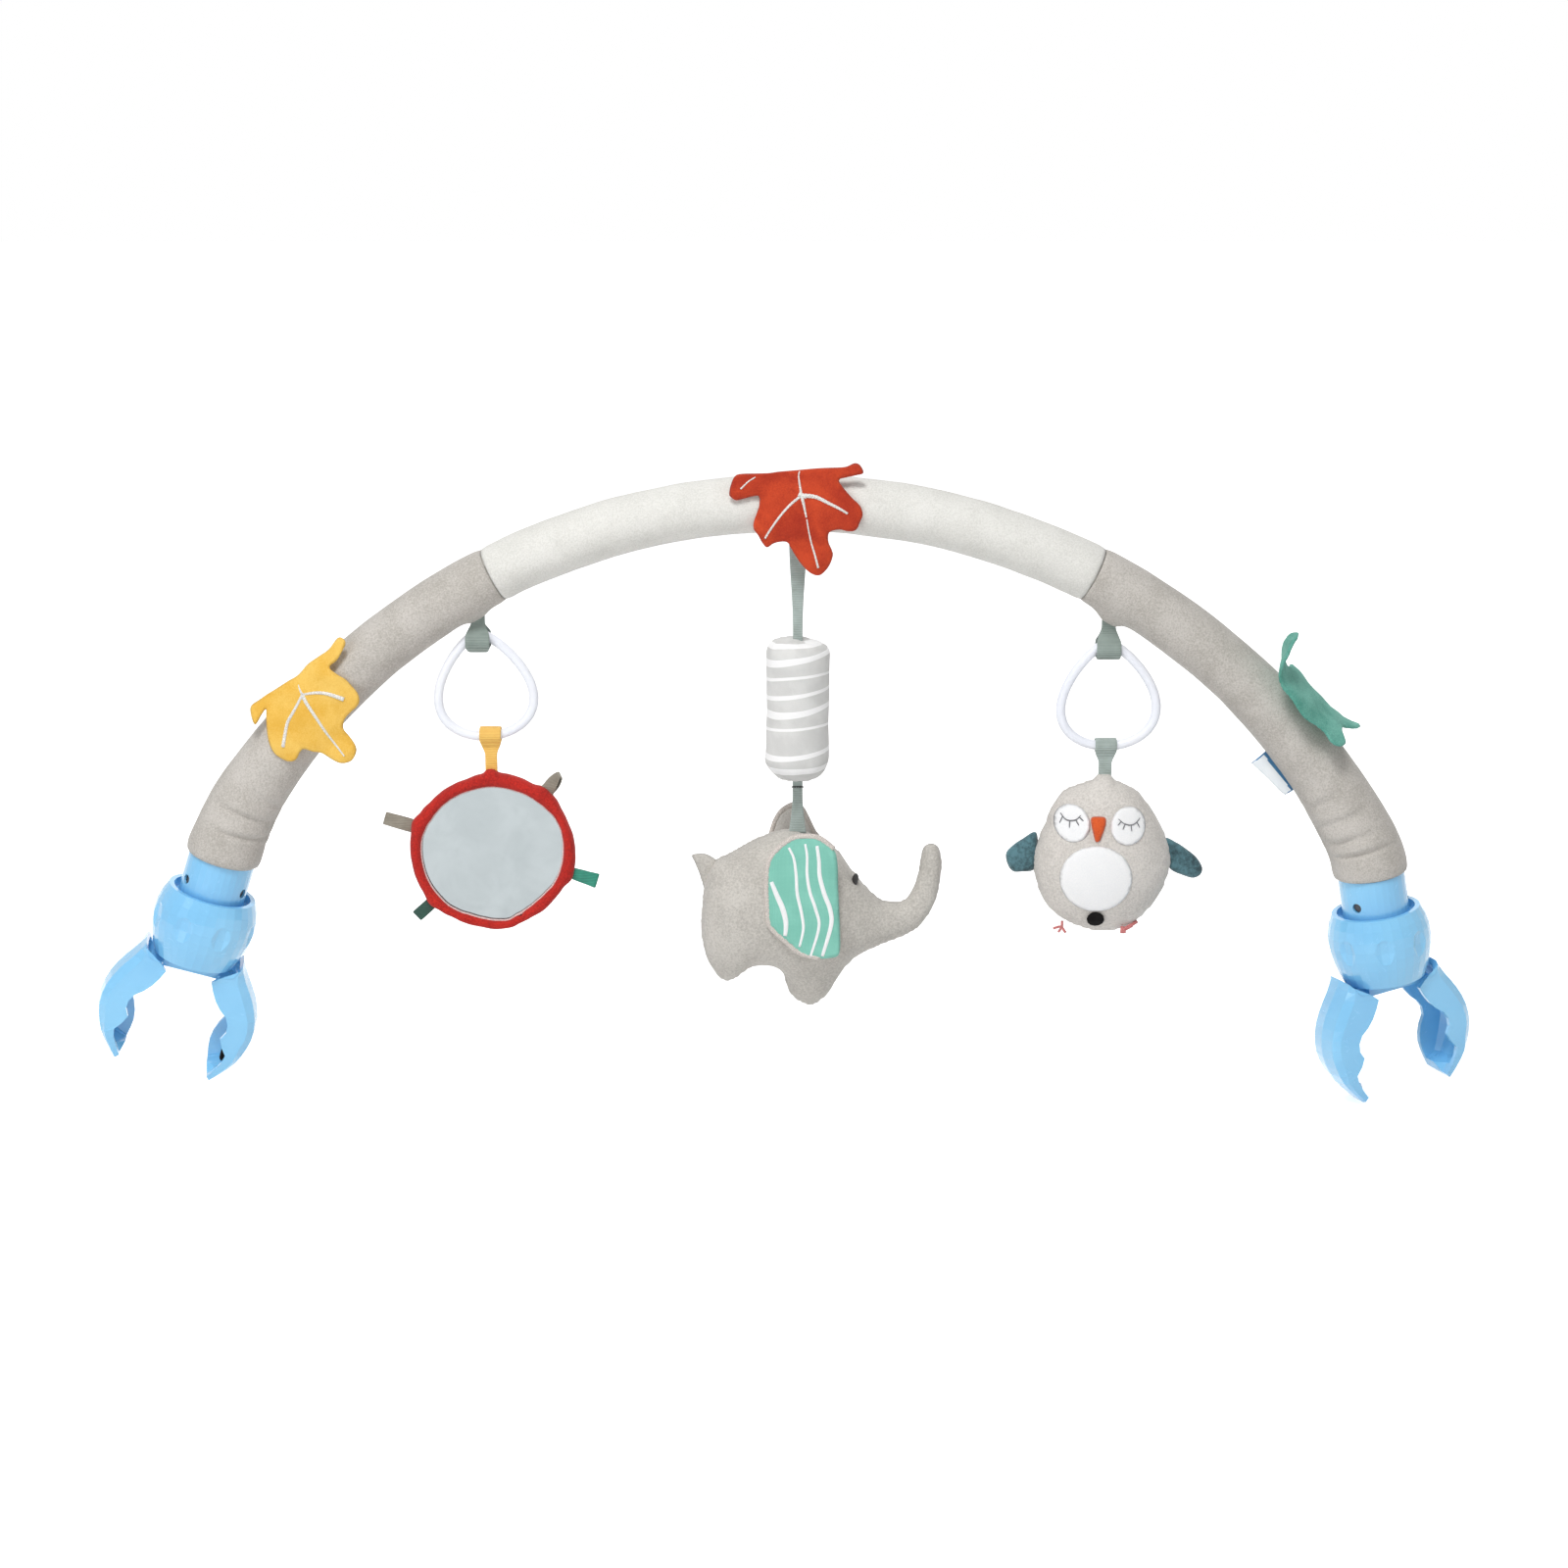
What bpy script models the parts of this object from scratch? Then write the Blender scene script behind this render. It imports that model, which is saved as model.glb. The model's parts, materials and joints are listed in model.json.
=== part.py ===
"""Stroller arch toy: a padded arch with a screw-closed claw at each end and three hanging toys.

Metres, +Z up, +X to the right. The toys face -Y. The origin lies midway between the grips of
the two claws, where the stroller's bars run, and the crown of the arch is straight above it.
"""

import math

import bmesh
import bpy
from mathutils import Matrix, Vector

MM = 0.001

# Fits
SEAT_GAP = 0.3 * MM
RUN_GAP = 0.4 * MM
OVERRUN = 3 * MM
MERGE_DISTANCE = 0.02 * MM

# Sides and steps of round forms
SLEEVE_SIDES = 18
CORE_SIDES = 6
TURNED_STEPS = 32
HIDDEN_STEPS = 16
SMALL_STEPS = 12
SOFT_SIDES = 16
KNOB_SIDE_STEPS = 7
STRAP_END_STEPS = 4
ROUNDING_STEPS = 3
SMOOTH_ANGLE = math.radians(38)

# Padded arch
LEFT, RIGHT = -1, 1
SIDES = ((LEFT, "left"), (RIGHT, "right"))
ARCH_RISE = 251 * MM
CROWN_RADIUS = 301 * MM
SHOULDER_RADIUS = {LEFT: 133 * MM, RIGHT: 60 * MM}
CROWN_ANGLE = {LEFT: 56.2, RIGHT: 61.1}
END_ANGLE = {LEFT: 72.0, RIGHT: 80.0}
ARCH_STEP_ANGLE = 5.0
SLEEVE_RADIUS = 13 * MM
SLEEVE_END_RADIUS = 17.8 * MM
SLEEVE_SWELL_POWER = 4.5
SLEEVE_THICKNESS = 1.2 * MM
HEM_LENGTH = 7 * MM
HEM_OVERHANG = 0.7 * MM
SEAM_ANGLE = 27.0
SEAM_LEAD_ANGLE = 0.4
CORE_RADIUS = 4 * MM
CORE_INSIDE_PLUG = 9 * MM

# End plug, pressed on the core and held in the claw's neck
PLUG_LENGTH = 20 * MM
PLUG_TOP_RADIUS = 10 * MM
PLUG_SHOULDER = 6 * MM
SPIGOT_LENGTH = 18.5 * MM
SPIGOT_GROOVE_DEPTH = 2.6 * MM

# Claw: neck, pins and knob
CLAW_TURN = {LEFT: 8.0, RIGHT: 18.0}
NECK_RADIUS = 15.5 * MM
NECK_BORE = 12.6 * MM
NECK_SHOWN = 17.5 * MM
NECK_FLOOR = 2.5 * MM
PIN_RADIUS = 2 * MM
PIN_RECESS = 1.1 * MM
PIN_HEIGHT = 5 * MM
PIN_COUNT = 3
CLIP_INSET = 0.2 * MM
KNOB_HEIGHT = 33.5 * MM
KNOB_RIM_RADIUS = 20.5 * MM
KNOB_BELLY_RADIUS = 24 * MM
KNOB_BASE_RADIUS = 19 * MM
KNOB_BELLY_SHARE = 0.4
KNOB_CUP_RADIUS = 18.2 * MM
KNOB_CUP_DEPTH = 4 * MM
KNOB_LEDGE = 5.8 * MM
KNOB_MOUTH_DEPTH = 8.3 * MM
KNOB_MOUTH_RADIUS = 16.2 * MM
FLUTE_COUNT = 8
FLUTE_LENGTH = 17 * MM
FLUTE_WIDTH = 11 * MM
FLUTE_DEPTH = 1.6 * MM
FLUTE_HEIGHT_SHARE = 0.46
FLUTE_ROOT_SHARE = 1.15
KNOB_BASE_POWER = 1.8

# Claw: screw tube, jaw block and the plunger that works the jaws
TUBE_RADIUS = 13.1 * MM
TUBE_BORE = 9 * MM
SLOT_WIDTH = 6 * MM
BLOCK_PLATE = 3 * MM
BLOCK_RECESS = 1.5 * MM
BLOCK_DROP = 5 * MM
EAR_OUTSIDE = 8.5 * MM
EAR_HALF_WIDTH = 13.1 * MM
LUG_HALF_WIDTH = 3.7 * MM
WING_WIDTH = 5.2 * MM
WING_HEIGHT = 4 * MM
WING_DROP = 6.7 * MM
PLUNGER_TOP_DROP = 3.2 * MM
PLUNGER_FOOT_HALF_WIDTH = 5.5 * MM
PLUNGER_FOOT_UNDER = 3.6 * MM
PLUNGER_FOOT_OVER = 2.8 * MM

# Claw: jaws
JAW_CLOSING_ANGLE = 17.0
JAW_PIVOT_OUT = 10 * MM
JAW_PIN_RADIUS = 1.5 * MM
KNUCKLE_RADIUS = 3.6 * MM
HEEL_ARM = 6.8 * MM
HEEL_RADIUS = 1.8 * MM
HEEL_HALF_WIDTH = 3.5 * MM
HEEL_NECK_RADIUS = 1.1 * MM
HEEL_NECK_HALF_WIDTH = 3.2 * MM
JAW_ARM_RADIUS = 2.3 * MM
JAW_ARM_HALF_WIDTH = 3.6 * MM
JAW_ARM_END = (17.5 * MM, -11 * MM)
JAW_LENGTH = 60 * MM
JAW_REACH = 37.2 * MM
JAW_WIDTH = 25 * MM
JAW_WALL = 2.5 * MM
JAW_SIDES = 12
JAW_SECTION_COUNT = 15
# Each row: back across and down, near lip across and down, far lip across and down,
# across as a share of the reach and down from the knob's base as a share of the length
JAW_OUTLINE_SHARES = (
    (0.624, -0.066, 0.535, 0.023, 0.535, 0.023),
    (0.712, 0.027, 0.300, 0.078, 0.300, 0.078),
    (0.828, 0.134, 0.345, 0.180, 0.345, 0.180),
    (0.930, 0.250, 0.457, 0.286, 0.450, 0.286),
    (0.989, 0.375, 0.600, 0.366, 0.565, 0.366),
    (1.000, 0.500, 0.645, 0.464, 0.613, 0.464),
    (0.962, 0.616, 0.590, 0.562, 0.530, 0.575),
    (0.876, 0.732, 0.710, 0.664, 0.495, 0.680),
    (0.763, 0.830, 0.672, 0.770, 0.510, 0.776),
    (0.622, 0.935, 0.562, 0.890, 0.550, 0.886),
)
JAW_TIP_SHARE = 0.9
JAW_TIP_NARROW_SHARE = 0.72
JAW_NARROW_START_SHARE = 0.6
JAW_SQUARE_POWER = 0.5
BUMPER_RADIUS = 4 * MM
BUMPER_SHARE = (0.66, 0.70, -0.12)
BUMPER_ROOT_SHARE = 0.81

# Hanger loops and rings
HANGER_WIDTH = 11 * MM
HANGER_THICKNESS = 0.7 * MM
HANGER_ANGLE = {LEFT: 28.62, RIGHT: 28.71}
HANGER_DROP = {LEFT: 11.6 * MM, RIGHT: 15.4 * MM}
RING_WIDTH = 48.5 * MM
RING_HEIGHT = 52.3 * MM
RING_WIRE_RADIUS = 2.25 * MM
RING_APEX_ROUNDNESS = 0.5
RING_POINT_COUNT = 32
FINE_RING_POINT_COUNT = 240
RING_LEAN = {LEFT: 5.5, RIGHT: 0.0}
RIBBON_THICKNESS = 1.2 * MM
BEAD_RADIUS = 0.8 * MM
BEAD_LENGTH_SHARE = 0.96
RIBBON_WAIST_SHARE = 0.3

# Mirror toy
MIRROR_RADIUS = 34.4 * MM
MIRROR_THICKNESS = 2 * MM
MIRROR_LIP_OVERLAP = 1.7 * MM
MIRROR_FRAME_WALL = 4 * MM
MIRROR_FRAME_DEPTH = 12 * MM
MIRROR_SOFT_SHARE = 0.55
MIRROR_RIBBON_WIDTH = 10 * MM
MIRROR_RIBBON_WAIST = 6 * MM
MIRROR_RIBBON_LENGTH = 13.7 * MM
TAB_WIDTH = 8 * MM
TAB_LENGTH = 10 * MM
TAB_THICKNESS = 1.6 * MM
TABS = {
    "tab_left": (162.6, "tab_taupe"),
    "tab_top": (48.6, "tab_taupe"),
    "tab_right": (-17.0, "tab_green"),
    "tab_bottom": (-139.0, "tab_dark_green"),
}

# Rattle
CENTRE_X = 2.2 * MM
RATTLE_RIBBON_TOP_WIDTH = 8.6 * MM
RATTLE_RIBBON_END_WIDTH = 5.5 * MM
RATTLE_RIBBON_LENGTH = 48.5 * MM
RATTLE_RADIUS = 14.8 * MM
RATTLE_LENGTH = 66.5 * MM
RATTLE_END_ROUND = 9 * MM
RATTLE_COVER_THICKNESS = 2.2 * MM
RATTLE_MOUTH_RADIUS = 4 * MM
RATTLE_INSERT_WALL = 1.6 * MM
RATTLE_STEPS = 20

# Elephant
ELEPHANT_RIBBON_TOP_WIDTH = 5.5 * MM
ELEPHANT_RIBBON_END_WIDTH = 9.5 * MM
ELEPHANT_RIBBON_LENGTH = 22.5 * MM
ELEPHANT_RIBBON_SINK = 5 * MM
ELEPHANT_LENGTH = 118 * MM
ELEPHANT_HEIGHT = 84 * MM
ELEPHANT_DEPTH = 44 * MM
TAIL_THICKNESS = 5 * MM
EAR_THICKNESS = 2.6 * MM
EAR_STANDOFF = 0.5 * MM
BODY_RINGS = 12
HEAD_RINGS = 9
TRUNK_RINGS = 13
LEG_RINGS = 8
# Rows down a stuffed form: place along, centre, height and depth, as shares of the toy's sizes
ELEPHANT_BODY_SHARES = (
    (-0.385, 0.42, 0.12, 0.14),
    (-0.365, 0.43, 0.44, 0.52),
    (-0.300, 0.46, 0.62, 0.76),
    (-0.200, 0.435, 0.73, 0.92),
    (-0.080, 0.41, 0.77, 1.00),
    (0.060, 0.42, 0.79, 0.98),
    (0.160, 0.435, 0.71, 0.88),
    (0.215, 0.465, 0.56, 0.70),
    (0.235, 0.48, 0.28, 0.34),
)
ELEPHANT_HEAD_SHARES = (
    (0.100, 0.43, 0.50, 0.60),
    (0.170, 0.445, 0.61, 0.80),
    (0.240, 0.485, 0.55, 0.78),
    (0.310, 0.52, 0.37, 0.62),
    (0.375, 0.53, 0.26, 0.44),
    (0.410, 0.53, 0.14, 0.22),
)
ELEPHANT_TRUNK_SHARES = (
    (0.290, 0.505, 0.18),
    (0.360, 0.520, 0.20),
    (0.425, 0.500, 0.175),
    (0.485, 0.420, 0.155),
    (0.520, 0.310, 0.140),
    (0.532, 0.200, 0.125),
    (0.530, 0.110, 0.100),
    (0.527, 0.070, 0.040),
)
ELEPHANT_HIND_SHARES = (
    (0.50, -0.255, 0.28, 0.60),
    (0.66, -0.265, 0.24, 0.62),
    (0.80, -0.270, 0.17, 0.52),
    (0.860, -0.272, 0.09, 0.30),
    (0.872, -0.272, 0.04, 0.12),
)
ELEPHANT_FRONT_SHARES = (
    (0.68, 0.086, 0.34, 0.66),
    (0.74, 0.080, 0.31, 0.64),
    (0.90, 0.062, 0.24, 0.54),
    (0.985, 0.050, 0.13, 0.32),
    (1.000, 0.048, 0.05, 0.14),
)
ELEPHANT_TAIL_SHARES = (
    (-0.300, 0.27),
    (-0.345, 0.18),
    (-0.390, 0.135),
    (-0.425, 0.125),
    (-0.418, 0.175),
    (-0.392, 0.235),
    (-0.375, 0.32),
)
# How far an ear opens, in the steps at which its seam is cleared
EAR_OPENINGS = (0.0, 10.0, 20.0, 30.0, 40.0)
# The ear's outline from its sewn front edge, as shares of the toy's length and height
EAR_OUTLINE_SHARES = (
    (0.000, 0.165),
    (-0.045, 0.070),
    (-0.110, 0.002),
    (-0.165, 0.000),
    (-0.225, 0.050),
    (-0.282, 0.120),
    (-0.290, 0.260),
    (-0.285, 0.400),
    (-0.240, 0.520),
    (-0.160, 0.635),
    (-0.085, 0.682),
    (-0.020, 0.675),
    (0.000, 0.560),
    (0.004, 0.360),
)
EAR_EDGE_SHARE = 0.178
FAR_EAR_SHIFT_SHARE = -0.041
FAR_EAR_RISE_SHARE = 0.045
FAR_EAR_OUTLINE_SHARES = (
    (-0.270, 0.227),
    (-0.281, 0.306),
    (-0.273, 0.436),
    (-0.211, 0.564),
    (-0.119, 0.671),
    (-0.073, 0.676),
    (-0.010, 0.649),
    (0.000, 0.573),
    (0.000, 0.394),
    (-0.012, 0.275),
    (-0.073, 0.149),
    (-0.120, 0.017),
    (-0.152, -0.005),
    (-0.183, 0.013),
    (-0.226, 0.092),
    (-0.246, 0.174),
)
EAR_SEAM_SHARE = 0.34
EAR_SEAM_DROP_SHARE = 0.45

# Owl
OWL_RIBBON_TOP_WIDTH = 9 * MM
OWL_RIBBON_WAIST = 6 * MM
OWL_RIBBON_LENGTH = 12.8 * MM
OWL_WIDTH = 64 * MM
OWL_RINGS = 13
PATCH_STEPS = 18
OWL_HEIGHT = 75 * MM
OWL_DEPTH = 40 * MM
FELT_THICKNESS = 1.2 * MM
OWL_BODY_SHARES = (
    (0.000, 0.00, 0.22, 0.16),
    (0.035, 0.00, 0.44, 0.42),
    (0.120, 0.00, 0.66, 0.72),
    (0.260, 0.00, 0.80, 0.92),
    (0.420, 0.00, 0.94, 1.00),
    (0.600, 0.00, 1.00, 1.00),
    (0.780, 0.00, 0.90, 0.86),
    (0.910, 0.00, 0.68, 0.56),
    (0.980, 0.00, 0.40, 0.26),
    (1.000, 0.00, 0.16, 0.10),
)
OWL_LEFT_EYE_SHARE = (-0.248, 0.262)
OWL_RIGHT_EYE_SHARE = (0.148, 0.285)
OWL_EYE_RADIUS = 8 * MM
OWL_BELLY_SHARE = (-0.075, 0.605)
OWL_BELLY_WIDTH = 33 * MM
OWL_BELLY_HEIGHT = 31 * MM
OWL_PATCHES = (
    ("eye_left", OWL_LEFT_EYE_SHARE, (OWL_EYE_RADIUS, OWL_EYE_RADIUS)),
    ("eye_right", OWL_RIGHT_EYE_SHARE, (OWL_EYE_RADIUS, OWL_EYE_RADIUS)),
    ("belly", OWL_BELLY_SHARE, (OWL_BELLY_WIDTH / 2, OWL_BELLY_HEIGHT / 2)),
)
BEAK_THICKNESS = 3 * MM
BUTTON_THICKNESS = 2.4 * MM
OWL_BEAK_SHARES = ((-0.125, 0.235), (-0.005, 0.235), (0.005, 0.30), (-0.065, 0.425), (-0.135, 0.30))
OWL_BUTTON_SHARE = (-0.065, 0.893)
OWL_BUTTON_RADIUS = 4 * MM
OWL_WING_THICKNESS = 3 * MM
# The wing's outline outward and down from its root, as shares of the owl's width and height
OWL_WING_SHARES = (
    (-0.10, 0.06),
    (0.02, 0.00),
    (0.10, 0.04),
    (0.185, 0.15),
    (0.225, 0.27),
    (0.17, 0.32),
    (0.06, 0.32),
    (-0.06, 0.29),
)
OWL_WING_ROOT_SHARES = (0.47, 0.37)

# Leaves and side tag
LEAF_THICKNESS = 2.2 * MM
LEAF_STANDOFF = 0.6 * MM
LEAF_GRID = 7
LEAF_BEND_RADIUS = 60 * MM
LEAF_HANG_RADIUS = 250 * MM
LEAF_CURL_RADIUS = 60 * MM
LEAF_TURN_LIMIT = 45.0
LEAF_CLOTH_SHARE = 1.05
TACK_STEPS = 10
# Outlines as tip and notch places, across and up from the tack, as shares of the leaf's size
RED_LEAF_SIZE = 37 * MM
RED_LEAF_SHARES = (
    (-0.876, 0.027),
    (-0.814, 0.222),
    (-0.543, 0.262),
    (-0.035, 0.303),
    (0.538, 0.341),
    (0.641, 0.381),
    (0.751, 0.265),
    (0.454, 0.186),
    (0.711, -0.127),
    (0.743, -0.230),
    (0.662, -0.419),
    (0.373, -0.432),
    (0.330, -0.573),
    (0.384, -0.746),
    (0.186, -0.992),
    (-0.138, -0.624),
    (-0.419, -0.643),
    (-0.581, -0.403),
    (-0.511, -0.111),
    (-0.519, -0.008),
    (-0.797, -0.059),
)
YELLOW_LEAF_SIZE = 34 * MM
YELLOW_LEAF_SHARES = (
    (-0.741, -0.212),
    (-0.624, -0.097),
    (-0.200, 0.174),
    (0.071, 0.403),
    (0.359, 0.612),
    (0.515, 0.774),
    (0.585, 0.668),
    (0.371, 0.374),
    (0.659, 0.115),
    (0.756, -0.076),
    (0.529, -0.385),
    (0.526, -0.479),
    (0.685, -0.788),
    (0.529, -0.944),
    (0.215, -0.809),
    (-0.009, -0.750),
    (-0.224, -0.924),
    (-0.476, -0.674),
    (-0.515, -0.212),
    (-0.656, -0.424),
    (-0.718, -0.326),
)
# Each leaf's tack: its side, its angle down the leg, its turn round the sleeve from the front
# and its rise, up from the middle of the sleeve in front or away from the sleeve elsewhere
LEAF_TACKS = {
    "leaf_red": (RIGHT, 0.7, 0.0, 5.5 * MM),
    "leaf_yellow": (LEFT, 46.0, 0.0, 9.1 * MM),
    "leaf_green": (RIGHT, 47.4, 82.0, 3 * MM),
}
LEAF_CLOTHS = {
    "leaf_red": (RED_LEAF_SIZE, RED_LEAF_SHARES, "centre"),
    "leaf_yellow": (YELLOW_LEAF_SIZE, YELLOW_LEAF_SHARES, "left"),
    "leaf_green": (YELLOW_LEAF_SIZE, YELLOW_LEAF_SHARES, "right"),
}
TAG_THICKNESS = 1.4 * MM
TAG_WIDTH = 22.5 * MM
TAG_LENGTH = 6.5 * MM
TAG_ANGLE = 52.0

COLOURS = {
    "sleeve_cream": ((222, 221, 216), 0.95),
    "sleeve_grey": ((196, 191, 184), 0.95),
    "foam": ((235, 232, 220), 0.95),
    "core_plastic": ((90, 92, 96), 0.5),
    "plug_white": ((225, 228, 230), 0.45),
    "blue_plastic": ((147, 206, 245), 0.28),
    "steel": ((120, 122, 126), 0.3),
    "black_rubber": ((20, 18, 18), 0.6),
    "ring_plastic": ((236, 240, 249), 0.35),
    "ribbon_grey_green": ((160, 171, 168), 0.85),
    "ribbon_yellow": ((244, 196, 98), 0.8),
    "leaf_red": ((198, 72, 42), 0.9),
    "leaf_yellow": ((245, 199, 92), 0.9),
    "leaf_green": ((110, 172, 161), 0.9),
    "frame_red": ((180, 44, 40), 0.9),
    "mirror": ((200, 206, 209), 0.05),
    "tab_taupe": ((146, 139, 125), 0.85),
    "tab_green": ((44, 150, 127), 0.8),
    "tab_dark_green": ((18, 73, 59), 0.8),
    "rattle_stripe": ((226, 225, 223), 0.9),
    "plush_grey": ((203, 198, 191), 0.95),
    "ear_mint": ((150, 214, 198), 0.9),
    "felt_white": ((245, 246, 248), 0.9),
    "wing_teal": ((78, 105, 110), 0.9),
    "beak_orange": ((216, 90, 40), 0.85),
    "tag_white": ((223, 237, 247), 0.7),
}
METALS = {"steel": 1.0, "mirror": 1.0}


def clear_scene():
    for obj in list(bpy.data.objects):
        bpy.data.objects.remove(obj, do_unlink=True)


def make_collection(name, hidden=False):
    collection = bpy.data.collections.new(name)
    collection.hide_render = hidden
    bpy.context.scene.collection.children.link(collection)
    return collection


def make_material(name):
    colour, roughness = COLOURS[name]
    material = bpy.data.materials.new(name)
    material.use_nodes = True
    shader = material.node_tree.nodes["Principled BSDF"]
    linear = [(channel / 255) ** 2.2 for channel in colour]
    shader.inputs["Base Color"].default_value = (*linear, 1)
    shader.inputs["Roughness"].default_value = roughness
    shader.inputs["Metallic"].default_value = METALS.get(name, 0)
    material.diffuse_color = (*linear, 1)
    return material


clear_scene()
PARTS = make_collection("stroller_arch_toy")
CUTTERS = make_collection("cutters", hidden=True)
MATERIALS = {name: make_material(name) for name in COLOURS}


# Objects and their modifiers


def add_object(name, data, material=None, parent=None, collection=None):
    obj = bpy.data.objects.new(name, data)
    (collection or PARTS).objects.link(obj)
    if material:
        data.materials.append(MATERIALS[material])
    obj.parent = parent
    return obj


def add_empty(name, matrix, parent=None):
    empty = bpy.data.objects.new(name, None)
    PARTS.objects.link(empty)
    empty.empty_display_size = KNOB_RIM_RADIUS
    empty.parent = parent
    empty.matrix_local = matrix
    return empty


def mesh_from(bm, name, smooth=True):
    mesh = bpy.data.meshes.new(name)
    bmesh.ops.recalc_face_normals(bm, faces=bm.faces)
    bm.to_mesh(mesh)
    bm.free()
    if smooth:
        mesh.shade_smooth()
        mesh.set_sharp_from_angle(angle=SMOOTH_ANGLE)
    return mesh


def hide_cutter(obj):
    obj.hide_render = True
    obj.display_type = "WIRE"
    return obj


def evaluated_mesh(obj):
    """A world-space mesh of the object with its modifiers applied."""
    bpy.context.view_layer.update()
    graph = bpy.context.evaluated_depsgraph_get()
    evaluated = obj.evaluated_get(graph)
    mesh = bpy.data.meshes.new_from_object(evaluated)
    mesh.transform(evaluated.matrix_world)
    return mesh


def boolean(target, other, operation):
    modifier = target.modifiers.new(f"{operation.lower()}_{other.name}", "BOOLEAN")
    modifier.operation = operation
    modifier.solver = "EXACT"
    modifier.object = other
    return modifier


def cut(target, *cutters):
    for cutter in cutters:
        boolean(target, hide_cutter(cutter), "DIFFERENCE")


def join(target, *others):
    for other in others:
        boolean(target, hide_cutter(other), "UNION")


def seat_on(target, *carriers, gap=SEAT_GAP, turns=(Matrix.Identity(4),)):
    """Cuts the target back to a small gap from each piece that carries it, turned in each way."""
    for carrier in carriers:
        for number, turn in enumerate(turns):
            mesh = evaluated_mesh(carrier)
            grown = [turn @ (vertex.co + vertex.normal * gap) for vertex in mesh.vertices]
            for vertex, place in zip(mesh.vertices, grown):
                vertex.co = place
            name = f"{carrier.name}_for_{target.name}_{number}"
            cut(target, add_object(name, mesh, collection=CUTTERS))


# Shapes


def box(name, size, centre, parent=None, collection=None, material=None):
    bm = bmesh.new()
    bmesh.ops.create_cube(bm, size=1)
    bmesh.ops.scale(bm, vec=Vector(size), verts=bm.verts)
    bmesh.ops.translate(bm, vec=Vector(centre), verts=bm.verts)
    mesh = mesh_from(bm, name, smooth=False)
    return add_object(name, mesh, material, parent, collection or CUTTERS)


def rod_into(bm, radius, start, end, steps=SMALL_STEPS):
    """Adds a closed cylinder from start to end."""
    axis = Vector(end) - Vector(start)
    turn = Vector((0, 0, 1)).rotation_difference(axis).to_matrix().to_4x4()
    place = Matrix.Translation((Vector(start) + Vector(end)) / 2) @ turn
    bmesh.ops.create_cone(
        bm,
        cap_ends=True,
        segments=steps,
        radius1=radius,
        radius2=radius,
        depth=axis.length,
        matrix=place,
    )


def rods(name, radius, ends, parent=None, collection=None, material=None, steps=SMALL_STEPS):
    bm = bmesh.new()
    for start, end in ends:
        rod_into(bm, radius, start, end, steps)
    return add_object(name, mesh_from(bm, name), material, parent, collection or CUTTERS)


def turned(name, profile, material=None, parent=None, collection=None, steps=TURNED_STEPS):
    """A profile of (radius, height) pairs turned about local Z."""
    bm = bmesh.new()
    points = [bm.verts.new((radius, 0, height)) for radius, height in profile]
    closed = profile[0][0] > 0 or profile[-1][0] > 0
    for first, second in zip(points, points[1:]):
        bm.edges.new((first, second))
    if closed:
        bm.edges.new((points[-1], points[0]))
    mesh = bpy.data.meshes.new(name)
    bm.to_mesh(mesh)
    bm.free()
    obj = add_object(name, mesh, material, parent, collection)
    screw = obj.modifiers.new("turn", "SCREW")
    screw.steps = steps
    screw.render_steps = steps
    screw.use_merge_vertices = True
    screw.merge_threshold = MERGE_DISTANCE
    screw.use_smooth_shade = True
    return obj


def curve_data(name, points, radii=None, closed=False):
    data = bpy.data.curves.new(name, "CURVE")
    data.dimensions = "3D"
    spline = data.splines.new("POLY")
    spline.points.add(len(points) - 1)
    for index, point in enumerate(points):
        spline.points[index].co = (*point, 1)
        if radii:
            spline.points[index].radius = radii[index]
    spline.use_cyclic_u = closed
    return data


def tube(name, points, radius, material=None, parent=None, collection=None, **options):
    """A round tube along the points, as a mesh; radii gives its radius at each point."""
    radii = options.get("radii")
    data = curve_data(
        name,
        points,
        [each / radius for each in radii] if radii else None,
        options.get("closed", False),
    )
    data.bevel_depth = radius
    data.bevel_resolution = (options.get("sides", SMALL_STEPS) - 4) // 2
    data.use_fill_caps = options.get("caps", True)
    curve = add_object(f"{name}_path", data, None, parent, collection)
    bpy.context.view_layer.update()
    graph = bpy.context.evaluated_depsgraph_get()
    mesh = bpy.data.meshes.new_from_object(curve.evaluated_get(graph))
    bpy.data.objects.remove(curve, do_unlink=True)
    bm = bmesh.new()
    bm.from_mesh(mesh)
    bmesh.ops.remove_doubles(bm, verts=bm.verts, dist=MERGE_DISTANCE)
    bpy.data.meshes.remove(mesh)
    return add_object(name, mesh_from(bm, name), material, parent, collection)


def slab(name, outline, thickness, material=None, parent=None, collection=None, matrix=None):
    """A flat outline in local XZ, extruded to both sides along local Y."""
    data = bpy.data.curves.new(name, "CURVE")
    data.dimensions = "2D"
    data.fill_mode = "BOTH"
    data.extrude = thickness / 2
    spline = data.splines.new("POLY")
    spline.points.add(len(outline) - 1)
    for index, (across, up) in enumerate(outline):
        spline.points[index].co = (across, up, 0, 1)
    spline.use_cyclic_u = True
    curve = add_object(f"{name}_outline", data, None, None, CUTTERS)
    bpy.context.view_layer.update()
    graph = bpy.context.evaluated_depsgraph_get()
    mesh = bpy.data.meshes.new_from_object(curve.evaluated_get(graph))
    bpy.data.objects.remove(curve, do_unlink=True)
    bm = bmesh.new()
    bm.from_mesh(mesh)
    bpy.data.meshes.remove(mesh)
    bmesh.ops.remove_doubles(bm, verts=bm.verts, dist=MERGE_DISTANCE)
    stand = Matrix.Rotation(math.radians(90), 4, "X")
    bmesh.ops.transform(bm, matrix=(matrix or Matrix()) @ stand, verts=bm.verts)
    return add_object(name, mesh_from(bm, name), material, parent, collection)


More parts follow.
